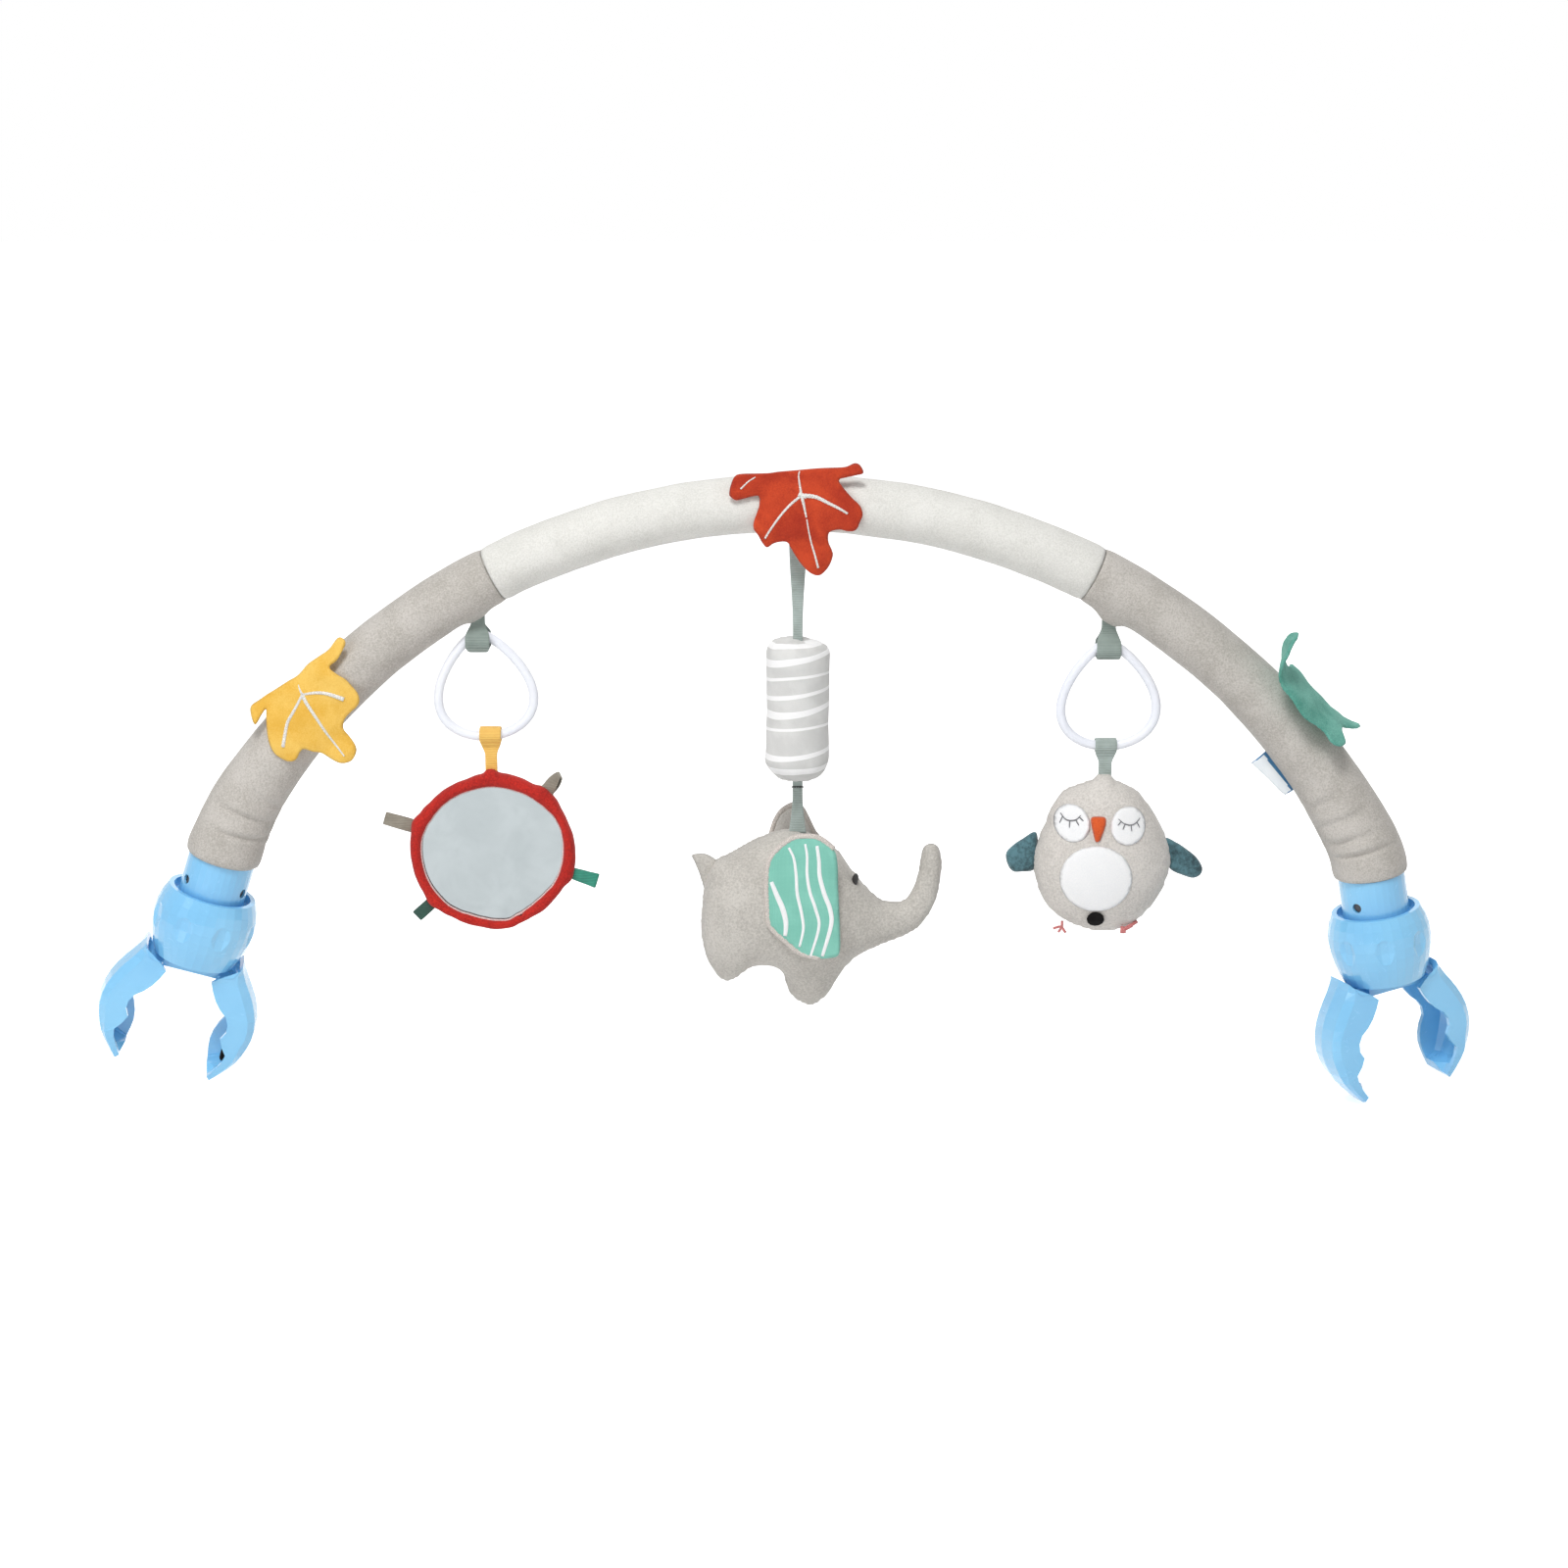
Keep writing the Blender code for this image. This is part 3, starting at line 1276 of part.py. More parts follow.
def make_ring(side, word, sleeve, ribbon_width):
    """A ring in its hanger loop; returns where its own ribbon hangs, and that ribbon's radius."""
    place = hinge_point(side)
    hanger_frame = add_empty(f"hanger_{word}_place", Matrix.Translation(place))
    lean = Matrix.Rotation(math.radians(-RING_LEAN[side]), 4, "Y")
    low, high = wire_span(Vector(), HANGER_WIDTH / 2, lean)
    hanger = loop_and_strap(
        f"hanger_loop_{word}",
        (high - low) / 2 + RING_WIRE_RADIUS + SEAT_GAP,
        (HANGER_WIDTH, HANGER_WIDTH),
        HANGER_DROP[side] + SLEEVE_RADIUS / 2,
        HANGER_THICKNESS,
        "ribbon_grey_green",
        hanger_frame,
        up=True,
    )
    seat_on(hanger, sleeve)
    swing = add_empty(f"ring_{word}_swing", Matrix.Translation(place))
    ring = tube(
        f"ring_{word}",
        ring_outline(),
        RING_WIRE_RADIUS,
        "ring_plastic",
        swing,
        sides=8,
        closed=True,
    )
    ring.matrix_local = Matrix.Translation((0, 0, -(low + high) / 2)) @ lean
    apex = place - Vector((0, 0, (low + high) / 2))
    bottom = lean @ Vector((0, 0, -(RING_HEIGHT - 2 * RING_WIRE_RADIUS)))
    low, high = wire_span(bottom, ribbon_width / 2, lean)
    hinge = apex + bottom + Vector((0, 0, (low + high) / 2))
    return hinge, (high - low) / 2 + RING_WIRE_RADIUS + SEAT_GAP


# Mirror toy


def make_mirror(top, loop_radius):
    frame = add_empty("mirror_swing", Matrix.Translation(top))
    thickness = RIBBON_THICKNESS / 2
    ribbon = loop_and_strap(
        "mirror_ribbon",
        loop_radius,
        (MIRROR_RIBBON_WIDTH, MIRROR_RIBBON_WAIST),
        MIRROR_RIBBON_LENGTH,
        thickness,
        "ribbon_yellow",
        frame,
    )
    groove = MIRROR_RADIUS + SEAT_GAP
    outside = groove + MIRROR_FRAME_WALL
    lip = MIRROR_RADIUS - MIRROR_LIP_OVERLAP
    half = MIRROR_FRAME_DEPTH / 2
    slot = MIRROR_THICKNESS / 2 + SEAT_GAP
    soft = MIRROR_FRAME_WALL * MIRROR_SOFT_SHARE
    profile = [
        (0, half),
        (lip - soft, half),
        (groove + soft / 2, half - soft / 2),
        (outside, half - 2 * soft),
        (outside, 2 * soft - half),
        (groove + soft, soft / 3 - half),
        (lip + soft / 3, soft / 3 - half),
        (lip, soft - half),
        (lip, -slot),
        (groove, -slot),
        (groove, slot),
        (0, slot),
    ]
    drop = loop_radius + MIRROR_RIBBON_LENGTH - SEAT_GAP + outside
    facing = Matrix.Translation((0, 0, -drop)) @ Matrix.Rotation(math.radians(90), 4, "X")
    disc = add_empty("mirror_face", facing @ Matrix.Rotation(math.pi, 4, "X"), frame)
    pad = turned("mirror_frame", profile, "frame_red", disc)
    plate_z = MIRROR_THICKNESS / 2
    plate = [(0, plate_z), (MIRROR_RADIUS, plate_z), (MIRROR_RADIUS, -plate_z), (0, -plate_z)]
    turned("mirror_plate", plate, "mirror", disc)
    seat_on(ribbon, pad)
    length = TAB_LENGTH + OVERRUN
    middle = outside + TAB_LENGTH / 2 - OVERRUN / 2
    for name, (angle, colour) in TABS.items():
        turn = Matrix.Translation((0, 0, -drop)) @ Matrix.Rotation(-math.radians(angle), 4, "Y")
        place = turn @ Matrix.Translation((middle, 0, 0))
        size = Matrix.Diagonal((length, TAB_THICKNESS, TAB_WIDTH, 1))
        bm = bmesh.new()
        bmesh.ops.create_cube(bm, size=1, matrix=place @ size)
        tab = add_object(f"mirror_{name}", mesh_from(bm, name, False), colour, frame)
        seat_on(tab, pad)


# Rattle


def flat_ribbon(name, top_width, end_width, length, parent, material):
    """A ribbon that hangs from its rounded top edge."""
    thickness = RIBBON_THICKNESS
    top, end = top_width / 2, end_width / 2
    outline = [(-top, 0), (top, 0), (end, -length), (-end, -length)]
    ribbon = slab(name, outline, thickness, material, parent)
    bead_end = top * BEAD_LENGTH_SHARE
    bead_ends = [((-bead_end, 0, 0), (bead_end, 0, 0))]
    join(ribbon, rods(f"{name}_edge", BEAD_RADIUS, bead_ends, parent))
    return ribbon


def rattle_profile(radius, length, rounding, top_z):
    """Half outline of a round-ended cylinder, from the top of its axis to the bottom."""
    points = [(0, top_z)]
    for corner, first in ((top_z - rounding, 90), (top_z - length + rounding, 0)):
        for index in range(ROUNDING_STEPS + 1):
            angle = math.radians(first - 90 * index / ROUNDING_STEPS)
            reach = radius - rounding + rounding * math.cos(angle)
            points.append((reach, corner + rounding * math.sin(angle)))
    points.append((0, top_z - length))
    return points


def make_rattle():
    angle = math.degrees(math.asin(CENTRE_X / CROWN_RADIUS))
    crown = arch_point(RIGHT, angle)[0]
    top = Vector((CENTRE_X, 0, crown.z - SLEEVE_RADIUS - BEAD_RADIUS - SEAT_GAP))
    frame = add_empty("rattle_swing", Matrix.Translation(top))
    flat_ribbon(
        "rattle_ribbon",
        RATTLE_RIBBON_TOP_WIDTH,
        RATTLE_RIBBON_END_WIDTH,
        RATTLE_RIBBON_LENGTH + RATTLE_END_ROUND / 3,
        frame,
        "ribbon_grey_green",
    )
    top_z = -RATTLE_RIBBON_LENGTH
    profile = rattle_profile(RATTLE_RADIUS, RATTLE_LENGTH, RATTLE_END_ROUND, top_z)
    cover = turned("rattle_cover", profile, "rattle_stripe", frame, steps=RATTLE_STEPS)
    inner_radius = RATTLE_RADIUS - RATTLE_COVER_THICKNESS
    inner_length = RATTLE_LENGTH - 2 * RATTLE_COVER_THICKNESS
    inner_round = RATTLE_END_ROUND - RATTLE_COVER_THICKNESS
    inner_top = top_z - RATTLE_COVER_THICKNESS
    profile = rattle_profile(inner_radius, inner_length, inner_round, inner_top)
    hollow = turned("rattle_hollow", profile, None, frame, CUTTERS, steps=RATTLE_STEPS)
    mouth_ends = [((0, 0, top_z + OVERRUN), (0, 0, top_z - RATTLE_END_ROUND))]
    mouth = rods("rattle_mouth", RATTLE_MOUTH_RADIUS, mouth_ends, frame)
    cut(cover, hollow, mouth)

    radius = inner_radius - SEAT_GAP
    insert_top = inner_top - inner_round
    insert_base = top_z - RATTLE_LENGTH + RATTLE_COVER_THICKNESS + inner_round
    wall = RATTLE_INSERT_WALL
    profile = [
        (RATTLE_MOUTH_RADIUS, insert_top),
        (radius, insert_top),
        (radius, insert_base),
        (0, insert_base),
        (0, insert_base + wall),
        (radius - wall, insert_base + wall),
        (radius - wall, insert_top - wall),
        (RATTLE_MOUTH_RADIUS, insert_top - wall),
    ]
    turned("rattle_capsule", profile, "plug_white", frame, steps=HIDDEN_STEPS)
    return frame


# Elephant


def make_elephant(rattle_frame):
    drop = RATTLE_RIBBON_LENGTH + RATTLE_LENGTH + BEAD_RADIUS + SEAT_GAP
    place = rattle_frame.matrix_local @ Matrix.Translation((0, 0, -drop))
    frame = add_empty("elephant_swing", place)
    ribbon = flat_ribbon(
        "elephant_ribbon",
        ELEPHANT_RIBBON_TOP_WIDTH,
        ELEPHANT_RIBBON_END_WIDTH,
        ELEPHANT_RIBBON_LENGTH + ELEPHANT_RIBBON_SINK,
        frame,
        "ribbon_grey_green",
    )
    back_z = -ELEPHANT_RIBBON_LENGTH
    length, height, depth = ELEPHANT_LENGTH, ELEPHANT_HEIGHT, ELEPHANT_DEPTH

    def sized(rows, along):
        """Shares of length, height and depth turned into stations."""
        found = []
        for place, middle, tall, deep in rows:
            half_depth = deep * depth / 2
            if along == "X":
                heights = (back_z - middle * height, tall * height / 2)
                found.append((place * length, *heights, half_depth))
            else:
                widths = (middle * length, tall * length / 2)
                found.append((back_z - place * height, *widths, half_depth))
        return found

    stations = sized(spread(ELEPHANT_BODY_SHARES, BODY_RINGS), "X")
    body = stuffed("elephant_body", stations, "X", "plush_grey", frame)
    stations = sized(spread(ELEPHANT_HEAD_SHARES, HEAD_RINGS), "X")
    head = stuffed("elephant_head", stations, "X", "plush_grey", frame)
    trunk_points = [
        Vector((across * length, 0, back_z - down * height))
        for across, down, _ in spread(ELEPHANT_TRUNK_SHARES, TRUNK_RINGS)
    ]
    radii = [share * height / 2 for *_, share in spread(ELEPHANT_TRUNK_SHARES, TRUNK_RINGS)]
    trunk = tube("trunk", trunk_points, radii[0], None, frame, CUTTERS, radii=radii, sides=10)
    join(head, trunk)
    tail_outline = [
        (across * length, back_z - down * height) for across, down in ELEPHANT_TAIL_SHARES
    ]
    join(body, slab("tail", tail_outline, TAIL_THICKNESS, None, frame, CUTTERS))
    seat_on(head, body)
    seat_on(ribbon, body)
    for name, rows in (("hind", ELEPHANT_HIND_SHARES), ("front", ELEPHANT_FRONT_SHARES)):
        stations = sized(spread(rows, LEG_RINGS), "Z")
        leg = stuffed(f"elephant_{name}_leg", stations, "Z", "plush_grey", frame, SMALL_STEPS)
        seat_on(leg, body, head)
    for name, sign in (("near", -1), ("far", 1)):
        make_ear(name, sign, frame, (body, head), back_z)


def make_ear(name, sign, frame, carriers, back_z):
    """A flat fabric ear, sewn on along its front edge."""
    edge_x = EAR_EDGE_SHARE * ELEPHANT_LENGTH
    rise = 0
    shares = EAR_OUTLINE_SHARES
    if sign > 0:
        edge_x += FAR_EAR_SHIFT_SHARE * ELEPHANT_LENGTH
        rise = FAR_EAR_RISE_SHARE * ELEPHANT_HEIGHT
        shares = FAR_EAR_OUTLINE_SHARES
    side_y = sign * (ELEPHANT_DEPTH / 2 + EAR_THICKNESS / 2 + EAR_STANDOFF)
    place = Matrix.Translation((edge_x, side_y, back_z + rise))
    hinge = add_empty(f"ear_{name}_hinge", place, frame)
    outline = [(across * ELEPHANT_LENGTH, -down * ELEPHANT_HEIGHT) for across, down in shares]
    ear = slab(f"elephant_ear_{name}", outline, EAR_THICKNESS, "ear_mint", hinge)
    soften = ear.modifiers.new("soft_edge", "BEVEL")
    soften.width = EAR_THICKNESS / 4
    soften.segments = 1
    seam_height = ELEPHANT_HEIGHT * EAR_SEAM_SHARE
    seam = box(
        f"ear_seam_{name}",
        (2 * EAR_THICKNESS, ELEPHANT_DEPTH / 4, seam_height),
        (-EAR_THICKNESS, -sign * ELEPHANT_DEPTH / 8, -ELEPHANT_HEIGHT * EAR_SEAM_DROP_SHARE),
        hinge,
    )
    join(ear, seam)
    axis = hinge.matrix_world.translation
    turns = [
        Matrix.Translation(axis)
        @ Matrix.Rotation(math.radians(sign * opening), 4, "Z")
        @ Matrix.Translation(-axis)
        for opening in EAR_OPENINGS
    ]
    seat_on(ear, *carriers, turns=turns)


# Owl

def make_owl(top, loop_radius):
    frame = add_empty("owl_swing", Matrix.Translation(top))
    ribbon = loop_and_strap(
        "owl_ribbon",
        loop_radius,
        (OWL_RIBBON_TOP_WIDTH, OWL_RIBBON_WAIST),
        OWL_RIBBON_LENGTH,
        RIBBON_THICKNESS / 2,
        "ribbon_grey_green",
        frame,
    )
    crown_z = -OWL_RIBBON_LENGTH - loop_radius + OVERRUN

    def on_body(across, down):
        return Vector((across * OWL_WIDTH, 0, crown_z - down * OWL_HEIGHT))

    stations = [
        (crown_z - down * OWL_HEIGHT, middle, wide * OWL_WIDTH / 2, deep * OWL_DEPTH / 2)
        for down, middle, wide, deep in spread(OWL_BODY_SHARES, OWL_RINGS)
    ]
    body = stuffed("owl_body", stations, "Z", "plush_grey", frame)
    seat_on(ribbon, body)

    near = -OWL_DEPTH / 2 - 2 * FELT_THICKNESS
    inward = Vector((0, OWL_DEPTH / 3, 0))
    patches = []
    for name, place, size in OWL_PATCHES:
        patch = felt_disc(f"owl_{name}", on_body(*place), size, near, inward, frame)
        trim_to_skin(patch, body, FELT_THICKNESS)
        seat_on(patch, body)
        patches.append(patch)

    beak = slab(
        "owl_beak",
        [(across * OWL_WIDTH, crown_z - down * OWL_HEIGHT) for across, down in OWL_BEAK_SHARES],
        OWL_DEPTH / 2,
        "beak_orange",
        frame,
        matrix=Matrix.Translation((0, near, 0)),
    )
    trim_to_skin(beak, body, BEAK_THICKNESS)
    seat_on(beak, body, *patches)

    button_centre = on_body(*OWL_BUTTON_SHARE) + Vector((0, near, 0))
    button = rods(
        "owl_button",
        OWL_BUTTON_RADIUS,
        [(button_centre, button_centre + inward * 2)],
        frame,
        PARTS,
        "black_rubber",
    )
    trim_to_skin(button, body, BUTTON_THICKNESS)
    seat_on(button, body, *patches)
    for sign, name in SIDES:
        make_wing(name, sign, frame, body, crown_z)


def felt_disc(name, centre, radii, near, inward, parent):
    """A round patch, long enough inward to be trimmed to the body's skin."""
    place = Matrix.Translation(centre + Vector((0, near, 0)) + inward / 2)
    stand = Matrix.Rotation(math.radians(90), 4, "X")
    size = Matrix.Diagonal((radii[0], radii[1], inward.length, 1))
    bm = bmesh.new()
    bmesh.ops.create_cone(
        bm,
        cap_ends=True,
        segments=PATCH_STEPS,
        radius1=1,
        radius2=1,
        depth=1,
        matrix=place @ stand @ size,
    )
    return add_object(name, mesh_from(bm, name), "felt_white", parent)


def trim_to_skin(patch, body, thickness):
    """Keeps only the part of a patch within this thickness of the body's skin."""
    grown = evaluated_mesh(body)
    places = [vertex.co + vertex.normal * (thickness + SEAT_GAP) for vertex in grown.vertices]
    for vertex, place in zip(grown.vertices, places):
        vertex.co = place
    keep = add_object(f"skin_for_{patch.name}", grown, collection=CUTTERS)
    boolean(patch, hide_cutter(keep), "INTERSECT")


def make_wing(name, sign, frame, body, crown_z):
    root_out, root_down = OWL_WING_ROOT_SHARES
    place = Matrix.Translation((sign * root_out * OWL_WIDTH, 0, crown_z - root_down * OWL_HEIGHT))
    hinge = add_empty(f"wing_{name}_hinge", place, frame)
    outline = [
        (sign * across * OWL_WIDTH, -down * OWL_HEIGHT) for across, down in OWL_WING_SHARES
    ]
    wing = slab(f"owl_wing_{name}", outline, OWL_WING_THICKNESS, "wing_teal", hinge)
    soften = wing.modifiers.new("soft_edge", "BEVEL")
    soften.width = OWL_WING_THICKNESS / 4
    soften.segments = 1
    seat_on(wing, body)


# Leaves and side tag

def make_leaf(name):
    """A fabric leaf, bent over the sleeve or curled up from it, with its tack's column."""
    side, angle, around, rise = LEAF_TACKS[name]
    size, shares, _ = LEAF_CLOTHS[name]
    middle, direction = arch_point(side, angle)
    outward = Vector((side * math.sin(math.radians(angle)), 0, math.cos(math.radians(angle))))
    turn = math.radians(around)
    facing = Vector((0, -1, 0)) * math.cos(turn) + outward * math.sin(turn)
    radius = sleeve_radius(side, angle)
    stand = radius + LEAF_STANDOFF + LEAF_THICKNESS / 2
    in_front = around < LEAF_TURN_LIMIT
    centre = middle + (outward if in_front else facing) * rise
    across_way = Vector((1, 0, 0)) if in_front else direction.cross(facing)
    up_way = Vector((0, 0, 1)) if in_front else -direction

    def bent(across, up):
        """A point of the flat leaf, bent with its distance from its tack."""
        flat = across_way * across + up_way * up
        if in_front:
            over = rise + flat.dot(outward)
            bend = LEAF_BEND_RADIUS if over > 0 else LEAF_HANG_RADIUS
            return centre + flat + facing * (stand - over**2 / (2 * bend))
        curl = up**2 / (2 * LEAF_CURL_RADIUS) - across**2 / (2 * LEAF_HANG_RADIUS)
        return centre + flat + facing * (stand + curl)

    reach = size * LEAF_CLOTH_SHARE
    bm = bmesh.new()
    bmesh.ops.create_grid(bm, x_segments=LEAF_GRID, y_segments=LEAF_GRID, size=reach)
    for vertex in bm.verts:
        vertex.co = bent(vertex.co.x, vertex.co.y)
    leaf = add_object(name, mesh_from(bm, name), name)
    thick = leaf.modifiers.new("fabric", "SOLIDIFY")
    thick.thickness = LEAF_THICKNESS
    thick.offset = 0

    axes = Matrix((across_way, -facing, up_way)).transposed().to_4x4()
    outline = [(across * size, up * size) for across, up in shares]
    prism = slab(
        f"{name}_outline",
        outline,
        4 * SLEEVE_END_RADIUS,
        None,
        None,
        CUTTERS,
        Matrix.Translation(centre) @ axes,
    )
    boolean(leaf, hide_cutter(prism), "INTERSECT")

    skin = math.sqrt(radius**2 - rise**2) if in_front else radius - rise
    start = centre + facing * (skin - SLEEVE_THICKNESS / 2)
    end = bent(0, 0) - facing * LEAF_THICKNESS / 4
    join(leaf, rods(f"{name}_tack", LEAF_THICKNESS, [(start, end)], steps=TACK_STEPS))
    return leaf


def make_leaves(sleeves):
    for name, (_, _, sleeve) in LEAF_CLOTHS.items():
        seat_on(make_leaf(name), sleeves[sleeve])


def make_tag(sleeve):
    """A folded fabric tag sewn into the sleeve's inner seam, left plain."""
    centre, direction = arch_point(RIGHT, TAG_ANGLE)
    inward = Vector((-math.sin(math.radians(TAG_ANGLE)), 0, -math.cos(math.radians(TAG_ANGLE))))
    radius = sleeve_radius(RIGHT, TAG_ANGLE)
    axes = Matrix((direction, Vector((0, 1, 0)), inward)).transposed().to_4x4()
    frame = add_empty("tag_place", Matrix.Translation(centre + inward * radius) @ axes)
    height = TAG_LENGTH + OVERRUN
    tag = box(
        "side_tag",
        (TAG_WIDTH, TAG_THICKNESS, height),
        (0, 0, TAG_LENGTH - height / 2),
        frame,
        PARTS,
        "tag_white",
    )
    seat_on(tag, sleeve)


def build():
    plugs = {side: make_claw(side, word) for side, word in SIDES}
    sleeves = make_arch(plugs)
    make_mirror(*make_ring(LEFT, "left", sleeves["left"], MIRROR_RIBBON_WIDTH))
    make_owl(*make_ring(RIGHT, "right", sleeves["right"], OWL_RIBBON_TOP_WIDTH))
    make_elephant(make_rattle())
    make_leaves(sleeves)
    make_tag(sleeves["right"])


build()
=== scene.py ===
"""Looks of the stroller arch toy: cloth, plush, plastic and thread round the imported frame."""

import json
from math import ceil, copysign, cos, degrees, exp, hypot, pi, radians, sin, sqrt

import bmesh
import bpy
import numpy as np
from mathutils import Matrix, Vector, geometry, noise


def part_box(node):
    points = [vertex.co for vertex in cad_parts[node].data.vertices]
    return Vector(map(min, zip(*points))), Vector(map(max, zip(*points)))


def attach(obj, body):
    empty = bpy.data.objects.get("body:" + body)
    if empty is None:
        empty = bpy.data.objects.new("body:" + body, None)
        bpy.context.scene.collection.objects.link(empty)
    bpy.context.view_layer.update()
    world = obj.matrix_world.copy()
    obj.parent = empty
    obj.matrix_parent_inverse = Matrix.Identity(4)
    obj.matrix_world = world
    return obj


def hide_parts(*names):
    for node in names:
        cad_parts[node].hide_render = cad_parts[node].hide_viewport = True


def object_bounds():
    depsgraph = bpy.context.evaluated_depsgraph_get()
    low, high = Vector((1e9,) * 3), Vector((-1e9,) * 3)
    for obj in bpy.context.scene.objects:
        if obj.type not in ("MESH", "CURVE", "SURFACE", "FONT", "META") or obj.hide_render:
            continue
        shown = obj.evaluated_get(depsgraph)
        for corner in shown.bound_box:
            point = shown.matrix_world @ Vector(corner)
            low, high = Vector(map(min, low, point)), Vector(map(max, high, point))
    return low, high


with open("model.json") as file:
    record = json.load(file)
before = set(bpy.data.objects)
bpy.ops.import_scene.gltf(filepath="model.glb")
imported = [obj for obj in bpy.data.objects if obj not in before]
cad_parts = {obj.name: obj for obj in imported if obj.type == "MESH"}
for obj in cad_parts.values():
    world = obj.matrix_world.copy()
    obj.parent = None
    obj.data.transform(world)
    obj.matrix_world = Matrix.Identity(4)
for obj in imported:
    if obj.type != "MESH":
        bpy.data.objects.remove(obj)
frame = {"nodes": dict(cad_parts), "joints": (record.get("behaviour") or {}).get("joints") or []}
CAD_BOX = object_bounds()
MM = 0.001
FRONT = Vector((0, -1, 0))
SIDES = ((-1, "left"), (1, "right"))
JOINTS = {j["name"]: Vector(j["pos_m"]) for j in frame["joints"] if "pos_m" in j}


def pairs(text, unit):
    """A table of flat points: a comma after each pair, and this many units to 1."""
    return [tuple(int(number) / unit for number in pair.split()) for pair in text.split(",")]


# Materials


def srgb(red, green, blue):
    def linear(channel):
        share = channel / 255
        return share / 12.92 if share <= 0.04045 else ((share + 0.055) / 1.055) ** 2.4

    return (linear(red), linear(green), linear(blue), 1)


def darker(colour, share):
    return tuple(channel * share for channel in colour)


class Graph:
    """A node graph, built by calls that return output sockets."""

    def __init__(self, tree):
        self.tree = tree

    def feed(self, socket, value):
        if isinstance(value, bpy.types.NodeSocket):
            self.tree.links.new(value, socket)
        else:
            socket.default_value = value

    def add(self, kind, inputs=None, **settings):
        node = self.tree.nodes.new(f"ShaderNode{kind}")
        for key, value in settings.items():
            setattr(node, key, value)
        for key, value in (inputs or {}).items():
            self.feed(node.inputs[key], value)
        return node.outputs

    def math(self, operation, *values):
        return self.add("Math", dict(enumerate(values)), operation=operation)[0]

    def plus(self, first, second):
        return self.math("ADD", first, second)

    def times(self, first, second):
        return self.math("MULTIPLY", first, second)


class Paint(Graph):
    """A material's graph, in the object's own coordinates."""

    def __init__(self, name, colour, roughness, **constants):
        self.material = bpy.data.materials.new(name)
        self.material.use_nodes = True
        self.material.diffuse_color = srgb(*colour)
        super().__init__(self.material.node_tree)
        self.shader = self.tree.nodes["Principled BSDF"].inputs
        self.shader["Base Color"].default_value = srgb(*colour)
        self.shader["Roughness"].default_value = roughness
        for key, value in constants.items():
            words = [word if word.isupper() else word.title() for word in key.split("_")]
            self.shader[" ".join(words)].default_value = value
        self.place = self.add("TexCoord")["Object"]

    def axes(self):
        return self.add("SeparateXYZ", {0: self.place})[:3]

    def noise(self, scale, detail=2.0, roughness=0.5, vector=None, distortion=0.0):
        inputs = {"Vector": vector or self.place, "Scale": scale, "Detail": detail}
        inputs |= {"Roughness": roughness, "Distortion": distortion}
        return self.add("TexNoise", inputs)[0]

    def span(self, value, low, high, out_low=0.0, out_high=1.0):
        inputs = {0: value, 1: low, 2: high, 3: out_low, 4: out_high}
        return self.add("MapRange", inputs, interpolation_type="SMOOTHSTEP")[0]

    def mix(self, share, first, second):
        return self.add("Mix", {0: share, 6: first, 7: second}, data_type="RGBA")[2]

    def blend(self, value, low, high, dark, light):
        """The colour that goes from dark to light where a value rises from low to high."""
        return self.mix(self.span(value, low, high), srgb(*dark), srgb(*light))

    def ripple(self, coordinate, pitch):
        """A wave from 0 to 1 with this pitch in metres."""
        wave = self.math("SINE", self.times(coordinate, 2 * pi / pitch))
        return self.math("MULTIPLY_ADD", wave, 0.5, 0.5)

    def finish(self, colour, height, distance, strength, roughness=None):
        bump = self.add("Bump", {"Height": height, "Distance": distance, "Strength": strength})
        self.feed(self.shader["Base Color"], colour)
        self.feed(self.shader["Normal"], bump[0])
        if roughness:
            self.feed(self.shader["Roughness"], roughness)
        return self.material


def plush(name, light, dark, pile, blotch=0.3, sheen=0.2, seam=False):
    """Brushed velour: short pile in a fine speckle, with soft patches where it is brushed."""
    paint = Paint(name, light, 0.92, sheen_weight=sheen, sheen_roughness=0.45)
    patches = paint.noise(55, 3.0, 0.55, distortion=0.3)
    tufts = paint.noise(pile, 3.0, 0.7)
    fibres = paint.noise(pile * 3.1, 1.0, 0.5)
    speckle = paint.math("MULTIPLY_ADD", patches, blotch, paint.times(tufts, 1 - blotch))
    colour = paint.blend(speckle, 0.34, 0.64, dark, light)
    # With seam, the colour is darker close to the middle plane where the two halves are sewn:
    # painted shade in the seam.
    if seam:
        across = paint.math("ABSOLUTE", paint.axes()[1])
        near = paint.span(across, 0.0001, 0.0008, 0.4, 0.0)
        colour = paint.mix(near, colour, srgb(*darker(dark, 0.66)))
    height = paint.plus(tufts, paint.times(fibres, 0.5))
    return paint.finish(colour, height, 0.00035, 0.6)


WEAVE_PITCH = 0.0006
RIB_PITCH = 0.0008


def woven(name, light, dark):
    """A plain-woven cloth: two crossing sets of threads, with slubs."""
    paint = Paint(name, light, 0.88, sheen_weight=0.15, sheen_roughness=0.5)
    across, deep, up = paint.axes()
    wobble = paint.times(paint.noise(150, 1.0), WEAVE_PITCH)
    warp = paint.ripple(paint.plus(paint.plus(across, deep), wobble), WEAVE_PITCH)
    weft = paint.ripple(paint.plus(up, wobble), WEAVE_PITCH)
    cloth = paint.times(warp, weft)
    shade = paint.plus(paint.times(cloth, 0.3), paint.times(paint.noise(90, 3.0), 0.7))
    colour = paint.blend(shade, 0.3, 0.62, dark, light)
    height = paint.plus(cloth, paint.times(paint.noise(400, 2.0), 0.6))
    return paint.finish(colour, height, 0.00012, 0.7)


